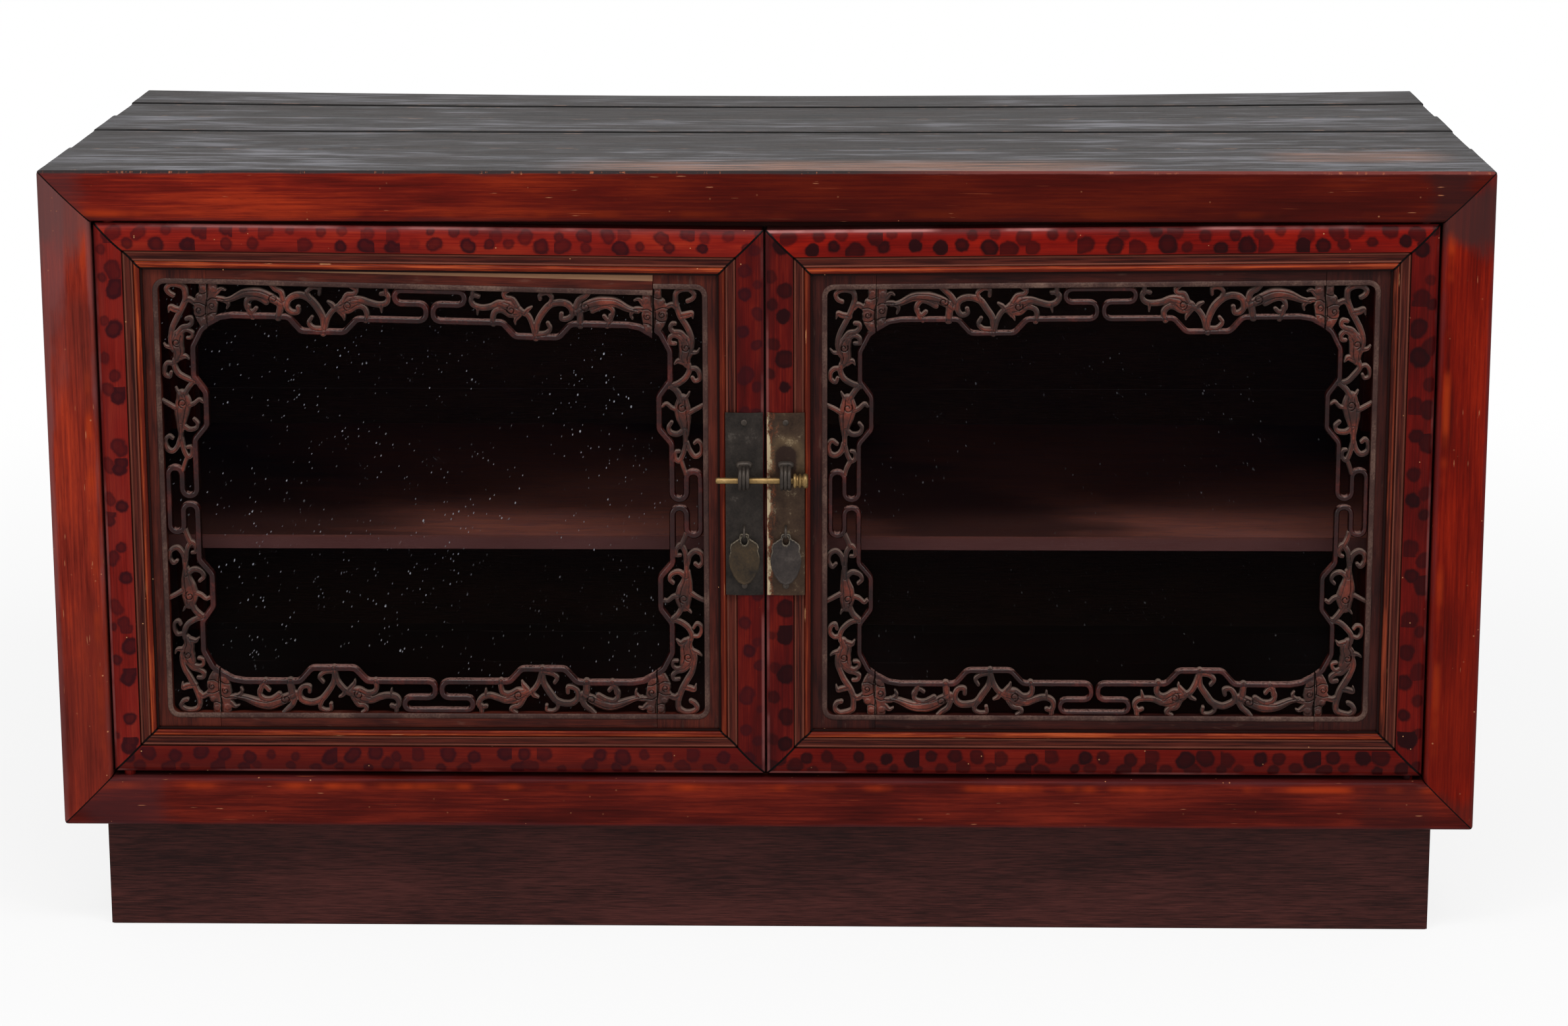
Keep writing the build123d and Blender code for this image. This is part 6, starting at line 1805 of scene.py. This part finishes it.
class Case:
    """The case: front frame, sides, back, floor, shelf and plinth."""

    def frame_members(self) -> None:
        """Round the four members of the front frame and lacquer them."""
        widths = {}
        for run, axis, nodes in ((Run.UP, 2, ("front_bottom_rail", "front_top_rail")),
                                 (Run.ACROSS, 0, ("front_left_stile", "front_right_stile"))):
            widths[run] = tuple((high[axis] - low[axis]) / MM for low, high in map(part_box, nodes))
        corners = Vector(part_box("front_left_stile")[0]), Vector(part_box("front_right_stile")[1])
        for seed, (node, (run, axis, inner_high, extra)) in enumerate(FRONT_MEMBERS.items(), 1):
            finish = FrameLacquer(node, run, *span(node, axis), inner_high, seed=float(seed),
                                  ends=span(node, 2 - axis), crossing=widths[run], **extra).material()
            piece = link_piece(f"{node}_worn", softened(node, corners), finish)
            hand_over(piece, "case", "frame_lacquer", node)

    def sides(self) -> None:
        """Dress the rear posts, side rails and panels."""
        for side in SIDES:
            for node, run, axis in ((f"rear_{side}_post", Run.UP, 0),
                                    (f"{side}_top_side_rail", Run.DEEP, 2),
                                    (f"{side}_bottom_side_rail", Run.DEEP, 2),
                                    (f"{side}_side_panel", Run.DEEP, 2)):
                lacquer = FrameLacquer(node, run, *span(node, axis), "bottom" in node,
                                       seed=len(node) * 0.37, middle=srgb(94, 22, 14),
                                       bright=srgb(124, 36, 18))
                dress(node, lacquer.material())
                if "panel" not in node:
                    ease_edges(node, 1.0)

    def inside(self) -> None:
        """Dress the shelf, back, floor, stops and rear rails."""
        maroon = StainedWood("inner_maroon", Run.ACROSS, srgb(34, 12, 10), srgb(62, 24, 18),
                             0.45).material()
        shelf_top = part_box("shelf")[1][2] / MM
        # The shelf's finish has painted light in slanting bands round x -225 and 430 mm and painted shadow
        # elsewhere on its top.
        worn = StainedWood("shelf_wood", Run.ACROSS, srgb(96, 58, 56), srgb(134, 92, 90), 0.4, shelf_top,
                           (-225.0, 430.0)).material()
        back = StainedWood("back_wood", Run.ACROSS, srgb(34, 18, 14), srgb(60, 36, 28), 0.6,
                           raw_back=True, seed=3).material()
        dress("shelf", worn)
        for node in ("shelf_cleats", "floor_boards", "floor_bearer", "top_door_stop", "bottom_door_stop",
                     "left_glazing_beads", "right_glazing_beads"):
            dress(node, maroon)
        for node in ("back_boards", "rear_top_rail", "rear_bottom_rail"):
            dress(node, back)

    def plinth(self) -> None:
        """Dress the plinth."""
        dark, light = srgb(30, 9, 8), srgb(74, 36, 32)
        rails = StainedWood("plinth_wood", Run.ACROSS, dark, light, 0.38, seed=5).material()
        ends = StainedWood("plinth_end_wood", Run.DEEP, dark, light, 0.38, seed=6).material()
        for node, wood in (("plinth_front", rails), ("plinth_back", rails), ("plinth_left", ends),
                           ("plinth_right", ends), ("plinth_corner_blocks", rails)):
            dress(node, wood)
            ease_edges(node, 1.4)

    def build(self) -> None:
        """Dress the whole case."""
        self.frame_members()
        self.sides()
        self.inside()
        self.plinth()
        TopBoards().build()


# ---------------------------------------------------------------- doors
@dataclass
class Door:
    """One door: lacquered members, carved panel and glass."""

    side: str
    shape: DoorShape
    seed: int

    def finish(self, member: Member) -> DoorLacquer:
        """Return a member's lacquer; the lock stiles and bottom rails are darker, the right door redder."""
        left = self.side == "left"
        extra = {"greyed": 0.3} if left and member is Member.HINGE_STILE else {}
        if not left:
            extra = {"red": srgb(106, 13, 7), "deep": srgb(70, 6, 4), "glow": srgb(134, 24, 10),
                     "spot": srgb(26, 4, 6), "radius": 7.4, "ring": 0.1, "sheen": 0.75}
        if member in (Member.BOTTOM_RAIL, Member.LOCK_STILE):
            extra |= {"red": srgb(80, 17, 12) if left else srgb(86, 14, 8), "glow": srgb(108, 27, 16)}
        if member is Member.LOCK_STILE:
            extra |= {"red": srgb(74, 11, 9), "deep": srgb(48, 7, 7), "bead": srgb(74, 22, 13),
                      "bead_light": srgb(124, 50, 26)}
        if not left and member is Member.HINGE_STILE:
            extra |= {"red": srgb(82, 10, 7), "deep": srgb(54, 5, 4), "glow": srgb(112, 20, 10),
                      "radius": 8.0, "bead": srgb(52, 19, 14), "bead_light": srgb(128, 54, 32)}
        extra["pitch"] = 33.0 if member in (Member.HINGE_STILE, Member.LOCK_STILE) else 23.0
        return DoorLacquer(f"{self.side}_{member.value}_lacquer", self.shape, member,
                           seed=self.seed * 3.7 + len(member.value), **extra)

    def build(self, bead: Recipe) -> None:
        """Dress the members and the glass, and make the carved panel."""
        left = self.side == "left"
        for member in Member:
            dress(f"{self.side}_{member.value}", self.finish(member).material())
        glass = f"{self.side}_glass"
        dress(glass, DustyGlass(glass, 1.0 if left else 0.3, self.seed).material())
        xs = sorted(map(abs, span(f"{self.side}_bottom_openwork", 0)))
        hinge = f"{self.side}_hinge_openwork"
        outer = max(map(abs, span(hinge, 0)))
        y_low, y_high = span(hinge, 1)
        CarvedPanel(self.side, self.shape, joint=xs[1], lock_joint=xs[0], rebate=self.shape.outer - outer,
                    y_face=y_low + 1.2, y_back=y_high, seed=self.seed, line_half=3.0 if left else 2.6,
                    drop_angle=0.85 if left else 0.0).build(bead)


def door_shape() -> DoorShape:
    """Return the doors' sizes from the frame."""
    stile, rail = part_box("left_hinge_stile"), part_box("left_top_rail")
    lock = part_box("left_lock_stile")
    return DoorShape(outer=-stile[0][0] / MM, inner=-lock[1][0] / MM,
                     low=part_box("left_bottom_rail")[0][2] / MM, hinge_top=rail[1][2] / MM,
                     lock_top=lock[1][2] / MM, member=(stile[1][0] - stile[0][0]) / MM)


# ---------------------------------------------------------------- stage
@dataclass
class Studio:
    """Floor, world, lamps and camera."""

    lens: float = 87.583
    shift: tuple[float, float] = (0.0, -0.07)
    eye: tuple[float, float, float] = (85.69, -3617.83, 1242.12)
    pitch: float = 0.21517
    roll: float = -0.00216
    yaw: float = 0.02038
    ambient: float = 0.42

    def camera(self) -> None:
        """Set up the camera."""
        data = bpy.data.cameras.new("camera")
        data.lens = self.lens
        data.sensor_width = 36.0
        data.shift_x, data.shift_y = self.shift
        data.clip_end = 100
        holder = bpy.data.objects.new("camera", data)
        holder.matrix_world = (Matrix.Translation(Vector(self.eye) * MM) @ Matrix.Rotation(self.yaw, 4, "Z")
                               @ Matrix.Rotation(pi / 2 - self.pitch, 4, "X")
                               @ Matrix.Rotation(self.roll, 4, "Z"))
        bpy.context.scene.collection.objects.link(holder)
        bpy.context.scene.camera = holder

    def seen(self, tree: NodeTree) -> Signal:
        """Return 1 for rays from the camera, mirrors and glass."""
        path = tree.node("ShaderNodeLightPath")
        camera, glossy, clear = (Signal(tree, path.outputs[name]) for name in
                                 ("Is Camera Ray", "Is Glossy Ray", "Is Transmission Ray"))
        return camera.most(glossy).most(clear)

    def floor(self) -> None:
        """Lay a white floor that keeps a faint shadow."""
        size = 30.0
        mesh = bpy.data.meshes.new("floor")
        corners = [(-size, -size, 0), (size, -size, 0), (size, size, 0), (-size, size, 0)]
        mesh.from_pydata(corners, [], [(0, 1, 2, 3)])
        shade = Shade("white_floor", {"Base Color": (0.86, 0.86, 0.86, 1), "Roughness": 0.9,
                                      "Specular IOR Level": 0.0})
        x, y, _ = shade.axes()
        far = shade.math("SQRT", x * x + y * y).rise(900.0, 2400.0)
        glow = shade.node("ShaderNodeEmission", sockets={"Color": (1, 1, 1, 1), "Strength": 1.0})
        blend = shade.node("ShaderNodeMixShader", sockets={0: self.seen(shade) * (0.84 + far * 0.16),
                                                           1: shade.surface, 2: glow})
        shade.link(blend, shade.output.inputs["Surface"])
        link_piece("floor", mesh, shade.material)

    def world(self) -> None:
        """Give the world a soft even light and a white look."""
        world = bpy.data.worlds.new("studio")
        bpy.context.scene.world = world
        world.use_nodes = True
        tree = NodeTree(world.node_tree)
        soft, white = (
            tree.node("ShaderNodeBackground", sockets={"Color": (1, 1, 1, 1), "Strength": strength})
            for strength in (self.ambient, 1.0))
        mixer = tree.node("ShaderNodeMixShader", sockets={0: self.seen(tree), 1: soft, 2: white})
        tree.node("ShaderNodeOutputWorld", sockets={"Surface": mixer})

    def lamp(self, name: str, place: Sequence[float], size: tuple[float, float], power: float,
             aim: Sequence[float] = (0, 0, 0.4)) -> None:
        """Hang one soft box."""
        data = bpy.data.lights.new(name, "AREA")
        data.shape = "RECTANGLE"
        data.size, data.size_y = size
        data.energy = power
        holder = bpy.data.objects.new(name, data)
        holder.location = place
        holder.rotation_euler = (Vector(aim) - Vector(place)).to_track_quat("-Z", "Y").to_euler()
        bpy.context.scene.collection.objects.link(holder)

    def build(self) -> None:
        """Set the stage."""
        bpy.context.scene.view_settings.view_transform = "Standard"
        self.camera()
        self.floor()
        self.world()
        self.lamp("overhead_box", (0.2, -1.7, 2.9), (3.0, 0.7), 60, aim=(0, -0.1, 0.4))
        self.lamp("left_box", (-2.8, -2.3, 1.5), (0.5, 1.8), 22)
        self.lamp("right_box", (2.8, -2.3, 1.5), (0.5, 1.8), 22)


# ---------------------------------------------------------------- all together
def build_fittings() -> None:
    """Dress the plates and make the nails, loops, staples, pulls and pin."""
    plate, pin, loop = ([Vector(c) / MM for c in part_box(node)]
                        for node in ("right_lock_plate", "lock_pin", "right_pin_loop"))
    joint = next(j for j in frame["joints"] if j["name"] == "right_pull_swing")
    plate_x = (plate[0].x + plate[1].x) / 2
    fittings = Fittings(plate_x=plate_x, y_plate=plate[0].y, y_pin=(pin[0].y + pin[1].y) / 2,
                        z_pin=(pin[0].z + pin[1].z) / 2, z_loop=(loop[0].z + loop[1].z) / 2,
                        y_pull=joint["pos_m"][1] / MM, z_pull=joint["pos_m"][2] / MM)
    wire = swept_wire()
    heads = nail_heads()
    shoulder = span("left_pull", 2)[0] + 22
    dark = Patina("loop_bronze", Metal.LOOP_BRONZE, metallic=0.5, seed=2).material()
    left = Patina("left_plate_bronze", Metal.DARK_BRONZE, metallic=0.6, seed=5)
    dress("left_lock_plate", left.material())
    right = Patina("right_plate_brass", Metal.WORN_BRASS, rub_from=plate[0].x, rub_reach=5.0,
                   stain_z=(plate_x, 460.5, 9.8), metallic=0.55, seed=7)
    dress("right_lock_plate", right.material())
    fittings.loops(wire, dark)
    fittings.staples(wire, dark)
    fittings.nails(heads, Patina("nail_metal", Metal.LOOP_BRONZE, metallic=0.6, seed=9).material())
    fittings.pulls({side: Patina(f"{side}_pull_bronze", metal, metallic=0.5, highlight_above=shoulder,
                                 seed=seed).material()
                    for side, metal, seed in (("left", Metal.BROWN_BRONZE, 11),
                                              ("right", Metal.GREY_BRONZE, 13))})
    fittings.pin(Patina("pin_brass", Metal.BRIGHT_BRASS, metallic=0.9, seed=15).material())


def main() -> None:
    """Build the cabinet's looks in order."""
    logging.basicConfig(level=logging.INFO, format="%(name)s: %(message)s")
    Studio().build()
    Case().build()
    shape = door_shape()
    bead = swept_bead()
    Door("left", shape, 1).build(bead)
    Door("right", shape, 2).build(bead)
    build_fittings()


if __name__ == "__main__":
    main()
